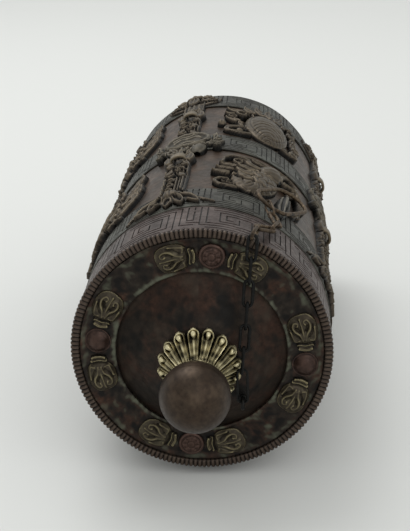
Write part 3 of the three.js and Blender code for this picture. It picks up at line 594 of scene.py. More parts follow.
def strap_sheet():
    """Strap with rolled edges, chased with scrolls, leaves and bars, and raised at its loops."""
    middle = 1.2
    strap = Relief((-8.4, UPPER_BAND[1] - 6), (9.4, BASE_BAND[0] + 6), 0.38, shade_below=1.6)
    from_middle = np.abs(strap.x - middle)
    edges = 1.1 * bell(from_middle, 5.6, 0.4) - 0.5 * bell(from_middle, 4.7, 0.4)
    strap.height = np.where(from_middle < 6.2, 2.1 + edges, FOOT)
    for y in (57, 64.5, 72):
        strap.curl(-1.2, y, 2.9, 200, 3.2, width=1.5)
        strap.ribbon([(-3.6, y - 4), (-3.9, y), (-3.4, y + 4)], 1.3, 3.0, lines=0)
    for x in (2.4, 3.9, 5.3):
        strap.ribbon([(x, 55), (x, 65), (x, 76)], 1.0, 3.1, lines=0)
    for y, way in ((80, 1), (87.5, -1), (160, 1), (167.5, -1), (175, 1)):
        strap.curl(1 - 2.2 * way, y, 3.4, 90 * way, 3.5, way=way, width=1.6)
        strap.curl(1 + 2.6 * way, y + 3.4, 2.4, -90, 3.3, way=-way, width=1.3)
        strap.leaf(1 + 3.4 * way, y - 1.8, 3.6, 1.7, 3.4, turn=25 * way, dip=0.7, vein=0.3)
    for y in (117, 123.5, 200, 206):
        strap.curl(-1.4, y, 2.6, 0, 3.3, width=1.4)
        strap.curl(3.0, y + 1, 2.4, 180, 3.3, way=-1, width=1.3)
    for along in TUNNEL_LOOPS.values():
        y = along + 1
        strap.mound(middle, y - 1, 11, 6.6, 3.9, full=0.3)
        for side in (-1, 1):
            strap.leaf(middle + 5.2 * side, y, 7.5, 2.8, 4.6, turn=-5 * side, dip=0.8, vein=0.5)
            strap.leaf(middle + 3.2 * side, y + 8.4, 5.0, 2.3, 4.4, turn=-18 * side, dip=0.8)
            strap.leaf(middle + 3.4 * side, y - 8.6, 5.2, 2.4, 4.0, turn=22 * side, dip=0.8)
        strap.leaf(middle, y + 8.6, 5.4, 2.0, 4.9, dip=0.6)
        # The cord's way through the tunnel loop is left flat
        way = (np.abs(strap.x - 1) < 2.5) & (strap.y > y - 9.5) & (strap.y < y + 4)
        strap.height = np.where(way, np.minimum(strap.height, 2.2), strap.height)
    barred = (strap.y > 210) & (strap.y < 221) & (from_middle < 4.6)
    bars = 2.3 + 1.0 * np.abs(np.cos((strap.x - middle) * math.pi / 2.9)) ** 1.5
    strap.height = np.where(barred, bars, strap.height)
    return strap.piece("strap_chased", relief_copper, on_case(STRAP_ANGLE, 0), seed=11)


def strap_bow():
    """Bow over the strap's end: two loops, two tails and a knot."""
    bow = Relief((-22, -13.5), (25, 13), 0.34, shade_below=0.9)
    for side, tip in ((-1, (19.5, -10.5)), (1, (22.0, -8.0))):
        bow.ribbon(mirrored(side, (1.5, 7), (8, 5.4), (14, -2.5), tip), 3.8, 2.5, ends=(0.7, 0.3),
                   bulge=0.25)
        bow.leaf(side * 9.6, -2.2, 9.8, 3.3, 3.2, turn=38 * side, dip=2.2, vein=0)
        bow.leaf(side * 5.0, -3.4, 9.2, 3.1, 3.8, turn=17 * side, dip=2.6, vein=0)
        bow.ridge(mirrored(side, (1.2, 6), (3.2, 0), (4.6, -8)), 0.8, 0.5)
    bow.leaf(0.4, -4.6, 7.6, 2.4, 3.2, dip=2.0, vein=0)
    bow.mound(1.0, 6.8, 4.2, 4.6, 4.0, vein=0.5)
    return bow.piece("strap_bow", relief_copper, on_case(STRAP_ANGLE, sum(UPPER_BAND) / 2), seed=12)


def strap_foot():
    """Palmette at the strap's foot, with leaves and scrolls at its sides."""
    foot = Relief((-19, -14), (20, 12.6), 0.42)
    for side in (-1, 1):
        foot.ribbon(mirrored(side, (2, -9), (8, -10), (14, -6), (16.5, 1)), 3.2, 2.8,
                    ends=(0.9, 0.4))
        foot.leaf(side * 8.5, 1.5, 8.0, 4.0, 3.4, turn=24 * side)
        foot.curl(side * 12.5, -3, 3.4, 90, 3.4, way=side, width=1.7)
        foot.leaf(side * 6.5, 7, 5.6, 2.4, 3.6, turn=62 * side)
        foot.curl(side * 4.6, -5.5, 3.2, 200 * side, 3.8, way=-side, width=1.7)
    each(foot.leaf, [(0, 0, 11, 3.8, 4.2), (0, 8.6, 3.4, 5.4, 4.0)])
    return foot.piece("strap_foot", relief_copper, on_case(STRAP_ANGLE, sum(BASE_BAND) / 2), seed=13)


def medallion():
    """Shallow dish over the middle band, with a raised rim and leaves below and beside it."""
    relief = Relief((-16, -24.5), (23, 14), 0.36)
    each(relief.leaf, [(-8.5, -12, 7.5, 4.0, 4.2, 42), (-11.5, -3, 6.5, 3.4, 4.2, 12),
                       (16.5, -9.5, 7.5, 3.8, 4.2, -58), (15.4, -1.5, 7.5, 3.6, 4.2, -24),
                       (-3.5, -17.5, 7.0, 3.6, 4.2, 18), (4.0, -15.5, 8.5, 4.2, 4.2, -4)])
    relief.mound(9.6, -17.8, 7.6, 4.2, 4.4, turn=-8, full=0.4)
    relief.ridge([(3.5, -17.2), (9.6, -16.2), (16.0, -18.4)], 0.8, -0.5)
    each(relief.curl, [(-10.5, -18.5, 2.9, 40, 4.2, 1.5), (18.5, -15.5, 2.8, 120, 4.2, 1.5, -1),
                       (19.5, -5.0, 2.4, 60, 4.2, 1.5), (3.0, -22, 2.2, 90, 4.2, 1.5)])
    dish = (2.6, -0.6, 12.0, 12.6)
    relief.mound(*dish, 4.9, full=0.18)
    edge = relief.oval(*dish)
    sunk = 0.5 * bell(edge, 0.9, 0.05) - 1.6 * np.clip((0.84 - edge) / 0.1, 0, 1)
    relief.height = relief.height + np.where(edge < 0.98, sunk, 0)
    moat = (edge > 1.0) & (edge < 1.09)
    relief.height = np.where(moat, np.minimum(relief.height, 1.8), relief.height)
    each(relief.ridge, [([(-5, 3.5), (-1, 6.0), (3, 4.2), (6, 6.4)], 1.1, 1.0),
                        ([(-4, -3), (0, 0.5), (3, -1.2), (7, 1.4), (10, -0.5)], 1.1, 1.0),
                        ([(-2, -7.5), (3, -5.5), (8, -7.6)], 1.1, 0.9),
                        ([(5, 7.5), (8, 4.5), (9.6, 1.5)], 1.1, 0.7)])
    place = on_case(STRAP_ANGLE, sum(MIDDLE_BAND) / 2 + 1.5)
    return relief.piece("medallion_chased", dish_copper, place, seed=14)


def tunnel_loop(name, y):
    """Tunnel loop for the carrying cord: a strip bent over, with rolled ends."""
    half, foot, rise, wall, half_width, highest = 3.5, 2.7, 2.9, 0.9, 2.75, 7.45
    path = np.array([(-half, foot - 0.6), *[
        (half * math.cos(t), foot + 1 + (rise - 1) * math.sin(t))
        for t in np.radians(np.linspace(180, 0, 17))], (half, foot - 0.6)])
    along = np.gradient(path, axis=0)
    out = np.stack([-along[:, 1], along[:, 0]], axis=1)
    out /= np.linalg.norm(out, axis=1)[:, None]
    section = np.radians(np.arange(0, 360, 20))
    c, s = np.cos(section), np.sin(section)
    width = half_width * np.sign(s) * np.abs(s) ** 0.45
    roof = 1 + np.maximum(path[:, 1:] - foot - 1, 0) / (rise - 1)
    thick = roof * wall / 2 * np.sign(c) * np.abs(c) ** 0.6 * (0.8 + 0.3 * np.abs(s))
    x, height = np.moveaxis(path[:, None] + thick[..., None] * out[:, None], -1, 0)
    points = around(STRAP_ANGLE + np.degrees((x + 1) / SHELL_RADIUS),
                    SHELL_RADIUS + np.minimum(height, highest), y + width)
    return make_piece(name, points, relief_copper, 0.95, round_rows=False)


def ribbons(relief):
    """Silk ribbons that flutter round every emblem, with loops and split ends."""
    for side in (-1, 1):
        relief.ribbon(mirrored(side, (5, -10), (12, -9), (17, -2), (14, 6), (17, 13), (15, 21)),
                      4.2, 4.4, lines=2, ends=(0.8, 0.6))
        relief.ribbon(mirrored(side, (4, -12), (11, -15), (16, -21), (12, -26)), 3.6, 3.9, lines=2,
                      ends=(0.9, 0.5))
        relief.loop(side * 15.5, -13, 2.7, 2.6, 4.2, squash=1.3)
        relief.ribbon(mirrored(side, (13, 8), (8, 15), (11, 22), (6, 26)), 3.4, 4.6, ends=(0.7, 0.4))
        relief.ribbon(mirrored(side, (17, -2), (20, 3), (19, 9)), 2.8, 3.4, ends=(0.9, 0.3))


def treasure_vase(relief):
    """Round body wrapped in a scarf, with a domed lid, leaves like fingers and curled ribbons."""
    relief.ribbon([(-12, 27), (-5, 30.5), (3, 28), (10, 31), (18, 29)], 3.2, 2.6)
    each(relief.leaf, [(-1, 26.5, 6.5, 2.8, 3.0, 70), (9, 27, 6.0, 2.6, 2.9, -75)])
    relief.ribbon([(-20, 15), (-19, 22), (-14, 26.5), (-8, 25), (-6.5, 19)], 2.4, 3.3,
                  ends=(0.6, 1))
    relief.curl(-11.8, 14.5, 4.4, 0, 3.9, width=1.8)
    each(relief.leaf, [(-17, 10.0, 5.4, 1.9, 3.2, 68), (-17, 3.2, 6.8, 2.0, 3.4, 82),
                       (-17, -5.2, 8.6, 2.2, 3.9, 78)])
    relief.ribbon([(-9, -11), (-13, -13), (-20, -13.5), (-22.5, -18), (-19, -23), (-12, -23.5)], 2.4,
                  3.2, ends=(0.8, 0.9))
    relief.curl(-15.8, -18.2, 3.4, 180, 3.2, width=1.4)
    each(relief.leaf, [(-8, -21.5, 4.6, 2.4, 3.0, 40), (-1.5, -23.5, 4.2, 2.3, 2.8, 8)])
    each(relief.mound, [(-3.2, -5, 19.5, 11.6, 5.3, -12, 0.38),
                        (4.8, 14.5, 9.5, 7.2, 5.9, -10, 0.45)])
    across = relief.x * 0.95 + relief.y * 0.22 + 1.3 * np.sin(relief.y / 2.4 + relief.x / 5)
    across = across + 0.5 * np.sin(relief.y / 1.6 - relief.x / 2.2)
    body = relief.inside(-3.2, -5, 18, 10.6)
    relief.chase(across / 3.3, body, 0.6, fine=0.13)
    folds = relief.y * 0.9 - relief.x * 0.5 + 1.6 * np.sin(relief.x / 2.3)
    relief.chase(folds / 6.4, body, 0.5, fine=0.07)
    for x, y, turn in ((-9.4, -3.5, 64), (-8.6, 4.0, 74), (-5.6, 10.2, 58), (-9.0, -10.4, 50)):
        relief.leaf(x, y, 5.4, 2.3, 5.6, turn=turn, dip=0.7, vein=0.4)
    each(relief.ridge, [([(-1.8, 9), (2.0, 6.4), (7, 6.6), (11, 9.4)], 1.1, 0.6),
                        ([(-1.4, 12), (0.4, 18), (5, 22)], 0.9, -0.45)])
    relief.ribbon([(10.5, 15), (11, 22), (15.5, 26), (20, 22), (19.5, 15), (16, 12)], 2.7, 3.6,
                  ends=(0.8, 1))
    relief.ribbon([(12, 9), (17, 9), (20.5, 3), (21.5, -5), (22.5, -13)], 4.4, 4.8, lines=2,
                  ends=(0.9, 0.5))
    each(relief.leaf, [(20.5, -18.5, 4.2, 2.2, 2.8, -20), (16.5, -24, 4.4, 2.2, 2.8, -50),
                       (15.5, 0.5, 6.5, 2.2, 4.2, -16)])


def conch_shell(relief):
    """Domed shell with open growth arcs, curled leaves at its sides and a flame behind it."""
    for x, y, long, turn in ((-9, 27, 6, 40), (-3, 31, 8, 22), (3, 33, 9, 4), (9, 31.5, 8, -16),
                             (14.5, 27, 6.5, -34)):
        relief.leaf(x, y, long, 3.4, 2.8, turn=turn, dip=0.7)
    each(relief.leaf, [(-16.5, 19.5, 7.5, 2.5, 3.2, 58), (-17.8, 11.5, 6.0, 2.2, 3.2, 72),
                       (-16.8, -2.6, 8.5, 2.6, 3.6, 46), (-12.6, -8.8, 5.6, 2.2, 3.2, 24)])
    each(relief.curl, [(-12.4, 10.0, 5.6, 0, 4.3, 2.0), (-18.8, 4.2, 3.2, 90, 3.6, 1.6, -1)])
    relief.mound(-23.6, -10.5, 3.2, 2.6, 4.4, vein=0.5)
    relief.ribbon([(-8, -15), (-13, -14.5), (-19.5, -18), (-20.5, -24), (-14, -27), (-8, -25)], 3.0,
                  3.4)
    relief.mound(-13.6, -20.5, 2.2, 2.4, 3.0)
    dome = (2.2, -3.4, 26, 13.4)
    relief.mound(*dome, 5.6, full=0.36)
    spread = np.hypot((relief.x - 2.6) / 0.42, relief.y + 31)
    relief.chase(spread / 4.7, relief.inside(2.6, -11, 19, 10.6), 0.6, fine=0.11)
    relief.height = relief.height - 0.45 * bell(relief.oval(*dome), 0.8, 0.03)
    for x, y, long, turn in ((17.6, 17.5, 6.5, -30), (19.2, 8.0, 6.0, -6), (19.6, -1.0, 5.6, 10),
                             (20.0, -14.5, 6.0, -10), (15.0, -24.5, 5.6, -58)):
        relief.leaf(x, y, long, 2.7, 3.4, turn=turn)
    each(relief.loop, [(21.0, -7.0, 2.4, 1.9, 3.4), (19.0, -21.5, 2.6, 1.9, 3.4)])
    relief.curl(16.4, 23.5, 2.8, 180, 3.4, way=-1, width=1.5)


def side_leaves(relief):
    """Long leaves that sweep up and to the right of an emblem, one over the other."""
    each(relief.leaf, [(25.5, 16, 11, 3.0, 3.4, -16), (22.5, 4, 12, 3.4, 3.4, -26),
                       (26.5, -3, 11, 2.8, 3.4, -18), (23.0, -13, 12, 3.4, 3.4, -32)], dip=1.0)
    relief.curl(19, -25, 3.2, 90, 3.2, width=1.5)


def law_wheel(relief):
    """Eight-spoked wheel on a small lotus."""
    relief.loop(0, 2, 10.5, 3.2, 4.6)
    relief.mound(0, 2, 3.4, 3.4, 5.0)
    for turn in np.radians(np.arange(0, 360, 45)):
        c, s = math.cos(turn), math.sin(turn)
        relief.ribbon([(3 * c, 2 + 3 * s), (6.5 * c, 2 + 6.5 * s), (10 * c, 2 + 10 * s)], 1.9, 3.6,
                      lines=0)
        relief.mound(13.2 * c, 2 + 13.2 * s, 1.9, 1.5, 4.0, turn=math.degrees(turn) - 90)
    for x in (-8, -4, 0, 4, 8):
        relief.mound(x, -15, 4, 2.6, 4.2, turn=-3 * x)


def gold_fishes(relief):
    """Two fishes side by side with scales and forked tails."""
    for side in (-1, 1):
        relief.ribbon(mirrored(side, (3, 15), (7, 6), (6, -4), (2, -12)), 9, 4.8, lines=0,
                      ends=(0.5, 0.35), bulge=0.5)
        relief.ribbon(mirrored(side, (2, -12), (7, -17), (9, -21)), 3.2, 4.0, ends=(0.6, 1))
        relief.ribbon(mirrored(side, (2, -12), (1.5, -18), (3, -22)), 3.0, 4.0, ends=(0.6, 1))
        relief.ribbon(mirrored(side, (9, 6), (13, 3), (13, -2)), 3, 3.8, ends=(1, 0.3))
        relief.mound(side * 4.6, 12, 1.3, 1.3, 5.4)
    scales = np.hypot(relief.x % 3.2 - 1.6, relief.y % 2.8) / 2.1
    relief.chase(scales, relief.inside(0, 2, 13, 10.5), 0.4, fine=0.14)


def endless_knot(relief):
    """Woven square knot of one closed cord."""
    for way, rise in ((1, 3.9), (-1, 4.4)):
        for k in (-6, -2, 2, 6):
            line = [(k - 8, way * (k + 8)), (k, way * k), (k + 8, way * (k - 8))]
            relief.ribbon(line, 2.3, rise, lines=0)
    for x, y in ((12.5, 0), (0, 12.5), (-12.5, 0), (0, -12.5)):
        relief.loop(x, y, 3.4, 2.2, 4.2)


def parasol(relief):
    """Domed parasol with pleated valance and a jewelled top."""
    relief.mound(0, 6, 11, 13.5, 4.8, full=0.4)
    relief.chase(np.arctan2(relief.x, relief.y + 18) * 7, relief.inside(0, 6, 11, 13), 0.5, 0.12)
    for i, x in enumerate(np.arange(-12, 13, 4)):
        relief.mound(x, -4 - 0.02 * x * x, 5, 2.3, 4.2 - 0.1 * (i % 2))
    relief.ribbon([(0, -6), (0, -14), (0, -22)], 2.6, 3.8, lines=0)
    relief.mound(0, 17, 4.2, 3, 5)
    relief.mound(0, 22, 2.4, 1.8, 4.6)


def lotus_flower(relief):
    """Open lotus with ranked petals and a seed head."""
    for turn, size in ((-75, 11), (75, 11), (-50, 13), (50, 13), (-25, 14), (25, 14), (0, 15)):
        t = math.radians(turn)
        x, y = math.sin(t), math.cos(t)
        relief.ribbon([(2 * x, -8 + 2 * y), (size * 0.6 * x, -8 + size * 0.7 * y),
                       (size * x, -8 + size * 1.5 * y)], 6.4, 4.4, ends=(0.5, 0.15),
                      bulge=0.6)
    relief.mound(0, -7, 4.4, 6, 5.0)
    relief.ribbon([(0, -12), (1.5, -18), (-1, -24)], 3, 3.8, lines=0)


def victory_banner(relief):
    """Round banner in three tiers with pleated valances."""
    for y in (12, 2, -8):
        relief.mound(0, y, 6.4, 9, 4.2, full=0.35)
        for x in np.arange(-7.5, 8, 3.75):
            relief.mound(x, y - 4.4, 3.2, 1.9, 4.6)
    relief.mound(0, 20, 4.4, 3.2, 4.8)
    relief.mound(0, -16, 3.4, 7, 4.4)
    relief.ribbon([(0, -18), (0, -21), (0, -25)], 2.4, 3.6, lines=0)


def make_emblems():
    """Eight emblems in two rows. Those behind and below stand among ribbons of one form."""
    front = {"vase": treasure_vase, "wheel": law_wheel, "fish": gold_fishes, "knot": endless_knot}
    rear = {"conch": conch_shell, "parasol": parasol, "lotus": lotus_flower,
            "banner": victory_banner}
    rows = ((front, UPPER_BAND[1] + 27, 34), (rear, sum(reach_of("emblem_conch")) / 2, 45))
    for row, (emblems, along, high) in enumerate(rows):
        for k, (name, form) in enumerate(emblems.items()):
            last = k == COLUMNS - 1
            if k == 0:
                relief = Relief((-27, -31), (25, high), 0.36)
            else:
                relief = Relief((-21.5, -30), (32.5 if last else 21.5, 28), 0.45)
                ribbons(relief)
            if last:
                side_leaves(relief)
            form(relief)
            angle = EMBLEM_ANGLE + 360 / COLUMNS * k
            made = relief.piece(f"emblem_{name}_raised", relief_copper, on_case(angle, along),
                                seed=20 + 4 * row + k)
            settle(made, "case", f"emblem_{name}")


def make_catch_stud():
    """Almond stud with three lengthwise ribs, which the chain's end loop drops over."""
    start, end = reach_of("catch_stud")
    relief = Relief((-4.4, 0), (4.4, end - start), 0.22)
    share = relief.y / (end - start)
    half = 3.75 * np.interp(share, [0, 0.2, 0.5, 0.75, 0.92, 1], [0.1, 0.55, 0.95, 1, 0.8, 0.35])
    rise = np.interp(share, [0, 0.2, 0.5, 0.72, 0.88, 1], [2.2, 3.9, 5.7, 7.0, 7.7, 5.6])
    edge = relief.x / half
    ribs = 0.55 * bell(edge, 0, 0.14) - 0.7 * bell(np.abs(edge), 0.36, 0.13)
    body = rise * np.sqrt(np.maximum(1 - edge ** 2, 0)) ** 0.7 + ribs
    relief.height = np.where(np.abs(edge) < 1, np.maximum(body, FOOT), FOOT)
    place = on_case(STUD_ANGLE, start, ceiling=STUD_RADIUS)
    made = relief.piece("stud_ribbed", stud_iron, place, seed=31)
    settle(made, "case", "catch_stud")


# Lid

def make_rim():
    """Beaded ring: short rounded bars side by side round the edge of the lid."""
    beads, per_bead = 175, 6
    radius = radius_of("rim_beading")
    start, end = reach_of("rim_beading")
    inner = radius - 4
    middle, half_width, half_depth = (radius + inner) / 2, (radius - inner) / 2, (end - start) / 2
    turn = np.arange(beads * per_bead)[:, None] / per_bead
    swell = np.abs(np.sin(np.pi * turn)) ** 0.7
    section = np.radians(np.arange(0, 360, 22.5))
    across, deep = (np.sign(part) * np.abs(part) ** 0.6
                    for part in (np.cos(section), np.sin(section)))
    scale = 0.62 + 0.38 * swell
    outer = middle + half_width * across * np.where(across > -0.5, scale, 1)
    points = around(turn * 360 / beads, outer, (start + end) / 2 + half_depth * deep * scale)
    made = make_piece("rim_beads", points, rim_copper, 0.02 + 0.62 * swell, crease=70)
    settle(made, "lid", "rim_beading")


def lid_piece(name, profile, finish, node, seed, dent, segments, wear_and_painted_light):
    """A turned sheet on the lid, from (radius, height out of the lid) marks."""
    marks = [(r, -h) for r, h in profile]
    made = turned(name, marks, finish, seed, dent, segments, np.clip(wear_and_painted_light, 0, 1))
    settle(made, "lid", node)


def grid_of(profile, segments):
    """Angle and radius of each point of a turned sheet, to work out its patina and, on the ball, its
    painted highlight from.
    """
    return np.arange(segments)[:, None] * 360 / segments, np.array([r for r, _ in profile])


def make_ornament_ring():
    """Brass ring round the dome: sunk, with a lip at its inner and its outer edge."""
    start, end = reach_of("ornament_ring")
    outer = radius_of("ornament_ring")
    inner, front, back = outer - 15.8, -start, -end
    marks = [(inner, back), (inner, front + 0.1), (inner + 0.4, front + 0.35),
             (inner + 0.9, front + 0.3), (inner + 1.4, front)]
    marks += [(r, front) for r in np.linspace(inner + 2, outer - 3, 15)]
    marks += [(outer - 1.6, front + 0.1), (outer - 0.9, front + 0.5), (outer, front + 0.4),
              (outer, back)]
    turn, radius = grid_of(marks, 360)
    # Dark brown between the vajras, and a pale green bloom at the edges and round every mound
    pitch = 180 / VAJRAS
    past_mound = (turn - VAJRA_ANGLE) % pitch
    mounds = bell(past_mound, pitch / 2, 12.0)
    bloom = 0.3 * bell(radius - inner, 0.8, 1.2) + 0.26 * bell(outer - 2.0, radius, 1.3)
    bloom = bloom * (1 + 0.9 * uneven(turn * 0.8, radius, 13, 47))
    near = 0.16 * np.exp(-((past_mound - pitch / 2) / 21.0) ** 8) * (1 - mounds)
    wear_and_painted_light = 0.5 - 0.14 * mounds + bloom - near + 0.24 * uneven(turn * 0.8, radius, 7, 43)
    wear_and_painted_light = wear_and_painted_light + 0.12 * uneven(turn * 0.8, radius, 2.6, 44)
    lid_piece("ring_sheet", marks, ring_brass, "ornament_ring", 41, 0.12, 360, wear_and_painted_light)


def make_dome():
    """Dark middle of the lid: a flat edge, a hollow rise and a step under the collar."""
    start, end = reach_of("lid_top")
    sheet = 1.3
    crown, edge = -start, -end + sheet
    rise = crown - 1.4 - edge
    face = [(3.3, crown), (10.4, crown - 0.3), (17.4, crown - 1.4), (20, crown - 2.7)]
    face += [(r, edge + share * rise) for r, share in (
        (22.9, 0.76), (26, 0.63), (28, 0.505), (28.6, 0.45), (30, 0.38), (33.2, 0.19),
        (36.0, 0.06), (37.4, 0.02), (38.1, 0), (46, 0), (55.3, 0))]
    radii, heights = np.array(face).T
    fine = np.union1d(np.arange(4, 38, 1.5), radii)
    face = list(zip(fine, np.interp(fine, radii, heights)))
    marks = face + [(r, h - sheet) for r, h in reversed(face)]
    turn, radius = grid_of(marks, 300)
    # Near black patches towards the middle, and red blushes further out
    wear_and_painted_light = 0.44 + 0.22 * uneven(turn * 0.5, radius, 17, 45)
    wear_and_painted_light = wear_and_painted_light + 0.13 * uneven(turn * 0.5, radius, 6, 46) + 0.1 * np.clip((radius - 24) / 14, 0, 1)
    lid_piece("lid_dome", marks, plate_copper, "lid_top", 42, 0.12, 300, wear_and_painted_light)


def on_lid(angle, face):
    """Places a relief on the lid's ring: x round it, y outwards, height out of the lid."""
    def place(x, y, height):
        return around(angle + np.degrees(x / VAJRA_RADIUS), VAJRA_RADIUS + y, -(face + height))
    return place


def vajra_heads(relief):
    """Two heads of curved prongs, and a waist with two collars between each and the middle."""
    for side in (-1, 1):
        centre = side * VAJRA_HEAD

        def out(bend, *marks):
            return [(centre + side * u, bend * v) for u, v in marks]

        edge = np.abs((relief.x - centre) / 7.4) ** 2.6 + np.abs(relief.y / 6.6) ** 2.6
        edge = edge ** (1 / 2.6)
        relief.lay(2.1 * np.maximum(1 - edge ** 2, 0) ** 0.4, (edge - 1) * 6.6)
        for bend in (-1, 1):
            each(relief.ridge, [
                (out(bend, (-4.8, 0.7), (-2.0, 1.5), (0.2, 3.3), (2.6, 3.9), (4.4, 2.9), (4.0, 1.5),
                     (2.8, 1.7)), 1.3, 0.75),
                (out(bend, (-4.9, 2.4), (-5.0, 4.2), (-2.4, 5.0), (0.2, 5.4)), 1.1, 0.5),
                (out(bend, (-3.6, 2.2), (-1.4, 3.8), (1.4, 5.0)), 0.7, -0.6),
                (out(bend, (-0.4, 1.4), (1.8, 2.6)), 0.9, -0.7)])
        relief.ridge(out(1, (-4.0, 0), (0.4, 0), (5.4, 0)), 1.2, 0.7)
        for u, half in ((-7.7, 3.2), (-9.2, 2.7)):
            relief.ribbon(out(half, (u, -1), (u - 0.5, 0), (u, 1)), 1.5, 1.6, lines=0)


def vajra_boss(relief, petalled):
    """Round boss of a vajra: petals and two grooves, or two plain steps."""
    if not petalled:
        each(relief.mound, [(0, 0, 5.9, 5.9, 1.6, 0, 0.3), (0, 0, 4.7, 4.7, 3.2, 0, 0.55)])
        return
    radius, turn = np.hypot(relief.x, relief.y), np.arctan2(relief.y, relief.x)
    relief.mound(0, 0, 5.9, 5.9, 2.6, full=0.3)
    groove = 0.7 * bell(radius, 4.3, 0.35) + 0.5 * bell(radius, 1.7, 0.3)
    petals = 0.5 * (0.5 + 0.5 * np.cos(8 * turn)) ** 3 * bell(radius, 3, 0.9)
    relief.height = relief.height - np.where(radius < 5.5, groove + petals, 0)


def make_vajras():
    """Vajras struck in brass on the ring, each with a copper boss in its middle."""
    low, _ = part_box("ornament_ring")
    for k in range(VAJRAS):
        place = on_lid(VAJRA_ANGLE + 360 / VAJRAS * k, (RIM_Y - low.y) / MM)
        heads = Relief((-VAJRA_HEAD - 8.5, -7.4), (VAJRA_HEAD + 8.5, 7.4), 0.24, shade_below=0.5)
        vajra_heads(heads)
        struck = heads.piece(f"vajra_{k + 1}_struck", vajra_brass, place, seed=50 + k)
        settle(struck, "lid", f"vajra_{k + 1}")
        boss = Relief((-6.3, -6.3), (6.3, 6.3), 0.25, shade_below=0.8)
        vajra_boss(boss, petalled=k % 2 == 0)
        raised = boss.piece(f"vajra_{k + 1}_boss", boss_copper, place, seed=60 + k)
        settle(raised, "lid", f"vajra_{k + 1}")


def make_collar():
    """Lotus collar: sixteen hollow petals from the ball's foot out to rounded, beaded tips."""
    petals, per_petal = 16, 22
    start, end = reach_of("lotus_collar")
    top, foot = -start, -end + 1.1
    marks = smooth_curve([(16.4, foot - 0.9), (17.6, foot - 0.1), (17.3, foot + 1.2),
                          (15.4, foot + 3.9), (12.6, foot + 7.4), (10.2, foot + 10.6),
                          (9.2, top)], 8)
    slope = np.gradient(marks, axis=0)
    out = np.stack([slope[:, 1], -slope[:, 0]], axis=1)
    out /= np.linalg.norm(out, axis=1)[:, None]
    share = np.linspace(0, 1, len(marks))
    turn = np.arange(petals * per_petal)[:, None] / per_petal
    across = np.abs((turn % 1) - 0.5) * 2
    fade = np.clip((1 - share) * 3, 0.15, 1)
    # Outline of a petal: two raised lines that close round its tip, where a ball stands
    tip_line = np.clip(1 - (share - 0.29) / 0.17, 0, 1)
    outline = np.abs(np.hypot(across / 0.72, tip_line) - 1)
    from_ball = np.hypot(across / 0.36, (share - 0.42) / 0.075)
    lift = (0.8 * bell(outline, 0, 0.17) * fade + 0.4 * bell(across, 0, 0.2) * fade * (share > 0.5)
            - 0.42 * bell(across, 0.4, 0.14) * fade * (share > 0.45)
            - 1.3 * bell(across, 1, 0.15) * fade + 1.7 * np.sqrt(np.clip(1 - from_ball ** 2, 0, 1))
            - 0.8 * bell(from_ball, 1.3, 0.2) * fade)
    tip = 3.3 * (1 - np.sqrt(1 - (0.96 * across) ** 2))
    scallop = tip * np.clip((0.42 - share) / 0.16, 0, 1)
    radius = marks[:, 0] + np.minimum(lift, 1.2) * out[:, 0] - scallop
    height = np.minimum(marks[:, 1] + np.minimum(lift, 1.2) * out[:, 1], top)
    wear_and_painted_light = 0.47 + 0.55 * lift - 0.15 * (share > 0.9) - 0.12 * (share < 0.12)
    wear_and_painted_light = np.clip(wear_and_painted_light + 0.3 * uneven(turn * 4, share * 20, 5, 48), 0, 1)
    # Closed on its inside, from its top down the bore and out under its foot
    inside = np.array([(8.0, top), (3.4, top), (3.4, foot), (13.2, foot)])
    radius = np.concatenate([radius, np.broadcast_to(inside[:, 0], (len(turn), 4))], axis=1)
    height = np.concatenate([height, np.broadcast_to(inside[:, 1], (len(turn), 4))], axis=1)
    wear_and_painted_light = np.pad(wear_and_painted_light, ((0, 0), (0, 4)), constant_values=0.2)
    points = around(turn * 360 / petals + 4, radius, -height)
    made = make_piece("collar_petals", points, collar_brass, wear_and_painted_light, crease=80)
    settle(made, "lid", "lotus_collar")


def make_ball():
    """Ball finial: two halves raised from sheet, with a faint seam and a small plug at the front."""
    low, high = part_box("finial_ball")
    radius = (high.z - low.z) / 2 / MM
    middle = (RIM_Y - (low.y + radius * MM)) / MM
    turn = np.radians(np.arange(3, 168, 3))
    out = radius * 0.995 - 0.1 * bell(turn, math.pi / 2, 0.02) - 0.12 * bell(turn, 0.14, 0.03)
    marks = [(0, middle + radius * 0.985), *zip(out * np.sin(turn), middle + out * np.cos(turn)),
             (3.3, middle - radius * 0.975), (0, middle - radius * 0.97)]
    # Brown, with a painted highlight that makes it a little paler towards the top, where the light
    # falls
    turn, reach = grid_of(marks, 120)
    side, up = reach * np.sin(np.radians(turn)), reach * np.cos(np.radians(turn))
    wear_and_painted_light = 0.48 + 0.16 * up / radius
    wear_and_painted_light = wear_and_painted_light + 0.13 * uneven(side, up, 8, 71) + 0.06 * uneven(side, up, 2.4, 72)
    lid_piece("ball_raised", marks, ball_copper, "finial_ball", 70, 0.05, 120, wear_and_painted_light)
    for node in ("finial_washer", "finial_rod"):
        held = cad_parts[node]
        held.data.materials.clear()
        held.data.materials.append(inner_tin)


# Chain

def node_frame(node):
    """Middle, long, wide and thin directions of a CAD node, and its half sizes along them in mm."""
    points = np.array([v.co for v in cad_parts[node].data.vertices])
    middle = points.mean(axis=0)
    _, _, directions = np.linalg.svd(points - middle, full_matrices=False)
    spans = (points - middle) @ directions.T
    middle = middle + directions.T @ ((spans.max(axis=0) + spans.min(axis=0)) / 2)
    half = (spans.max(axis=0) - spans.min(axis=0)) / 2 / MM
    return middle, directions, half


def long_round(straight, bend, marks):
    """Points on a closed loop of two straight sides and two half rounds, and where each is."""
    half = 2 * straight + math.pi * bend
    run = np.linspace(0, 2 * half, marks, endpoint=False)
    side = np.where(run < half, 1, -1)
    run = run % half
    turn = np.clip((run - 2 * straight) / bend, 0, math.pi)
    long = side * (np.minimum(run, 2 * straight) - straight + bend * np.sin(turn))
    wide = side * bend * np.cos(turn)
    return long, wide


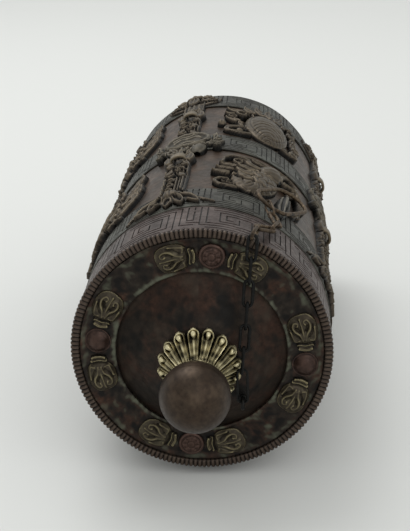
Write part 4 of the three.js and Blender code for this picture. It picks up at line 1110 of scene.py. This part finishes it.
def wire_loop(name, node, body, finish, seed, marks=56, ring=10, swell=0.96):
    """A closed wire, bent by hand round a rod, with its lapped joint in one long side."""
    middle, directions, (long, wide, thick) = node_frame(node)
    wave = np.random.default_rng(seed)
    wire = thick * swell
    path_long, path_wide = long_round(long - wide, wide - wire, marks)
    turns = np.linspace(0, 2 * math.pi, marks, endpoint=False)
    wobble = 0.06 * wire * np.cos(3 * turns + wave.uniform(0, 6))
    lap = 0.14 * bell(turns, 1.55, 0.28) - 0.12 * bell(turns, 1.9, 0.06)
    path = np.stack([path_long, path_wide + wobble, np.zeros(marks)], axis=1)
    along = np.roll(path, -1, axis=0) - np.roll(path, 1, axis=0)
    along /= np.linalg.norm(along, axis=1)[:, None]
    flat = np.array([0, 0, 1.0])
    out = np.cross(along, flat)
    size = wire * (1 + lap + 0.05 * np.cos(7 * turns + wave.uniform(0, 6)) - 0.05)
    section = np.linspace(0, 2 * math.pi, ring, endpoint=False)[:, None]
    points = path[:, None] + size[:, None, None] * (
        np.cos(section) * out[:, None] + np.sin(section) * flat)
    points[..., 2] = np.clip(points[..., 2], -1.2 * thick, 1.2 * thick)
    wear_and_painted_light = 0.42 + 0.12 * wave.standard_normal(marks)[:, None] + 0.2 * np.cos(section.T)
    made = make_piece(name, middle + MM * points @ directions, finish, np.clip(wear_and_painted_light, 0, 1))
    settle(made, body, node)


def make_chain():
    """Links of bent wire: dark ones over the lid, browner ones over the rim and along the case."""
    for k in range(1, 12):
        finish = chain_iron if k <= 6 else rusty_iron
        # The last link keeps its wire thin, which leaves room for the end loop's swing
        swell = 1.15 if k <= 6 else 1.3 if k < 11 else 0.9
        wire_loop(f"link_{k:02d}_forged", f"chain_link_{k:02d}", f"link_{k:02d}", finish, 80 + k,
                  swell=swell)
    wire_loop("first_ring_forged", "pear_ring", "pear_ring", chain_iron, 95)
    wire_loop("end_loop_forged", "catch_loop", "catch_loop", rusty_iron, 96, marks=96, ring=12)


def make_eye():
    """Eye on the lid's dome: a ring with a riveted shank."""
    low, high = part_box("chain_eye")
    outer = (high.z - low.z) / 2 / MM
    wire = 0.9
    centre = np.array([(low.x + high.x) / 2, low.y + outer * MM, (low.z + high.z) / 2])
    turns = np.radians(np.arange(0, 360, 10))[:, None]
    sides = np.radians(np.arange(0, 360, 36))
    swell = wire * (1 + 0.08 * np.cos(5 * turns))
    radius = (outer - wire) + swell * np.cos(sides) * 0.92
    points = np.stack([swell * np.sin(sides) * 0.92, radius * np.cos(turns), radius * np.sin(turns)],
                      axis=-1)
    ring = make_piece("eye_ring", points * MM + centre, chain_iron)
    reach = (high.y - centre[1]) / MM
    marks = np.array([(0.0, outer - 1.5), (1.2, outer - 1.4), (1.15, reach - 1.2),
                      (1.7, reach - 0.9), (1.8, reach), (0.0, reach)])
    turns = np.radians(np.arange(0, 360, 20))[:, None]
    points = np.stack(np.broadcast_arrays(marks[:, 0] * np.cos(turns), marks[:, 1],
                                          marks[:, 0] * np.sin(turns)), axis=-1)
    shank = make_piece("eye_shank", points * MM + centre, chain_iron, round_cols=False)
    for made in (ring, shank):
        settle(made, "lid", "chain_eye")


make_case_sheets()
every_column([strap_sheet(), strap_bow(), strap_foot()], "strap")
every_column([medallion()], "medallion")
for row, along in TUNNEL_LOOPS.items():
    every_column([tunnel_loop(f"loop_{row}_bent", along)], f"strap_loop_{row}")
make_emblems()
make_catch_stud()
make_rim()
settle(fret_sleeve("skirt_chased", "lid_skirt", 2.2, skirt_copper, 2), "lid",
       "lid_skirt")
make_ornament_ring()
make_dome()
make_vajras()
make_collar()
make_ball()
make_chain()
make_eye()


# Studio

RIM_RADIUS = 58
FOCAL_PIXELS, FRAME_HEIGHT_PIXELS = 1128, 531


def make_floor():
    """A pale painted board, even all over."""
    board = bpy.data.materials.new("pale_board")
    board.use_nodes = True
    shader = board.node_tree.nodes["Principled BSDF"]
    shader.inputs["Base Color"].default_value = colour(0xd8dad8)
    shader.inputs["Roughness"].default_value = 0.7
    half = 6.0
    mesh = bpy.data.meshes.new("floor")
    mesh.from_pydata([(-half, -half, 0), (half, -half, 0), (half, half, 0), (-half, half, 0)], [],
                     [(0, 1, 2, 3)])
    mesh.materials.append(board)
    add_object("floor", mesh)


def make_world():
    """Even white light all round. The camera and glossy surfaces see a pale grey room instead."""
    world = bpy.data.worlds.new("studio")
    bpy.context.scene.world = world
    world.use_nodes = True
    tree = world.node_tree
    path = add_node(tree, "ShaderNodeLightPath")
    seen = path.outputs["Is Camera Ray"]
    for ray in ("Is Glossy Ray", "Is Transmission Ray"):
        seen = add_node(tree, "ShaderNodeMath", {0: seen, 1: path.outputs[ray]},
                        operation="MAXIMUM").outputs[0]
    light = tree.nodes["Background"]
    light.inputs["Color"].default_value = colour(0xfafaf8)
    light.inputs["Strength"].default_value = 0.82
    backdrop = add_node(tree, "ShaderNodeBackground", {"Color": colour(0xd4d7d6), "Strength": 1.0})
    mixed = add_node(tree, "ShaderNodeMixShader", {
        0: seen, 1: light.outputs[0], 2: backdrop.outputs[0]})
    tree.links.new(mixed.outputs[0], tree.nodes["World Output"].inputs["Surface"])


def add_lamp(name, place, target, size, power):
    """A square soft light that points at a target."""
    lamp = bpy.data.lights.new(name, "AREA")
    lamp.size = size
    lamp.energy = power
    made = add_object(name, lamp)
    made.location = place
    made.rotation_mode = "QUATERNION"
    made.rotation_quaternion = (Vector(target) - Vector(place)).to_track_quat("-Z", "Y")


def make_camera():
    """Camera at the photograph's place, measured from the middle of the rim in rim radii."""
    spot = Vector((0.569, -7.731, 3.770)) * RIM_RADIUS * MM + Vector((AXIS_X, RIM_Y, AXIS_Z))
    right = Vector((0.998, 0.059, -0.023)).normalized()
    forward = Vector((-0.063, 0.928, -0.367)).normalized()
    up = right.cross(forward).normalized()
    right = forward.cross(up).normalized()
    camera = bpy.data.cameras.new("camera")
    camera.sensor_width = 36.0
    camera.lens = FOCAL_PIXELS / FRAME_HEIGHT_PIXELS * camera.sensor_width
    camera.clip_start = 0.01
    made = add_object("camera", camera)
    made.matrix_world = Matrix.Translation(spot) @ Matrix(
        (right, up, -forward)).transposed().to_4x4()
    bpy.context.scene.camera = made


make_floor()
make_world()
add_lamp("window", (-0.5, 0.75, 1.5), (0, 0, 0.05), 1.1, 10.5)
add_lamp("room", (0.7, -1.0, 1.2), (0, -0.1, 0.05), 1.2, 4.4)
make_camera()
bpy.context.scene.view_settings.view_transform = "Standard"
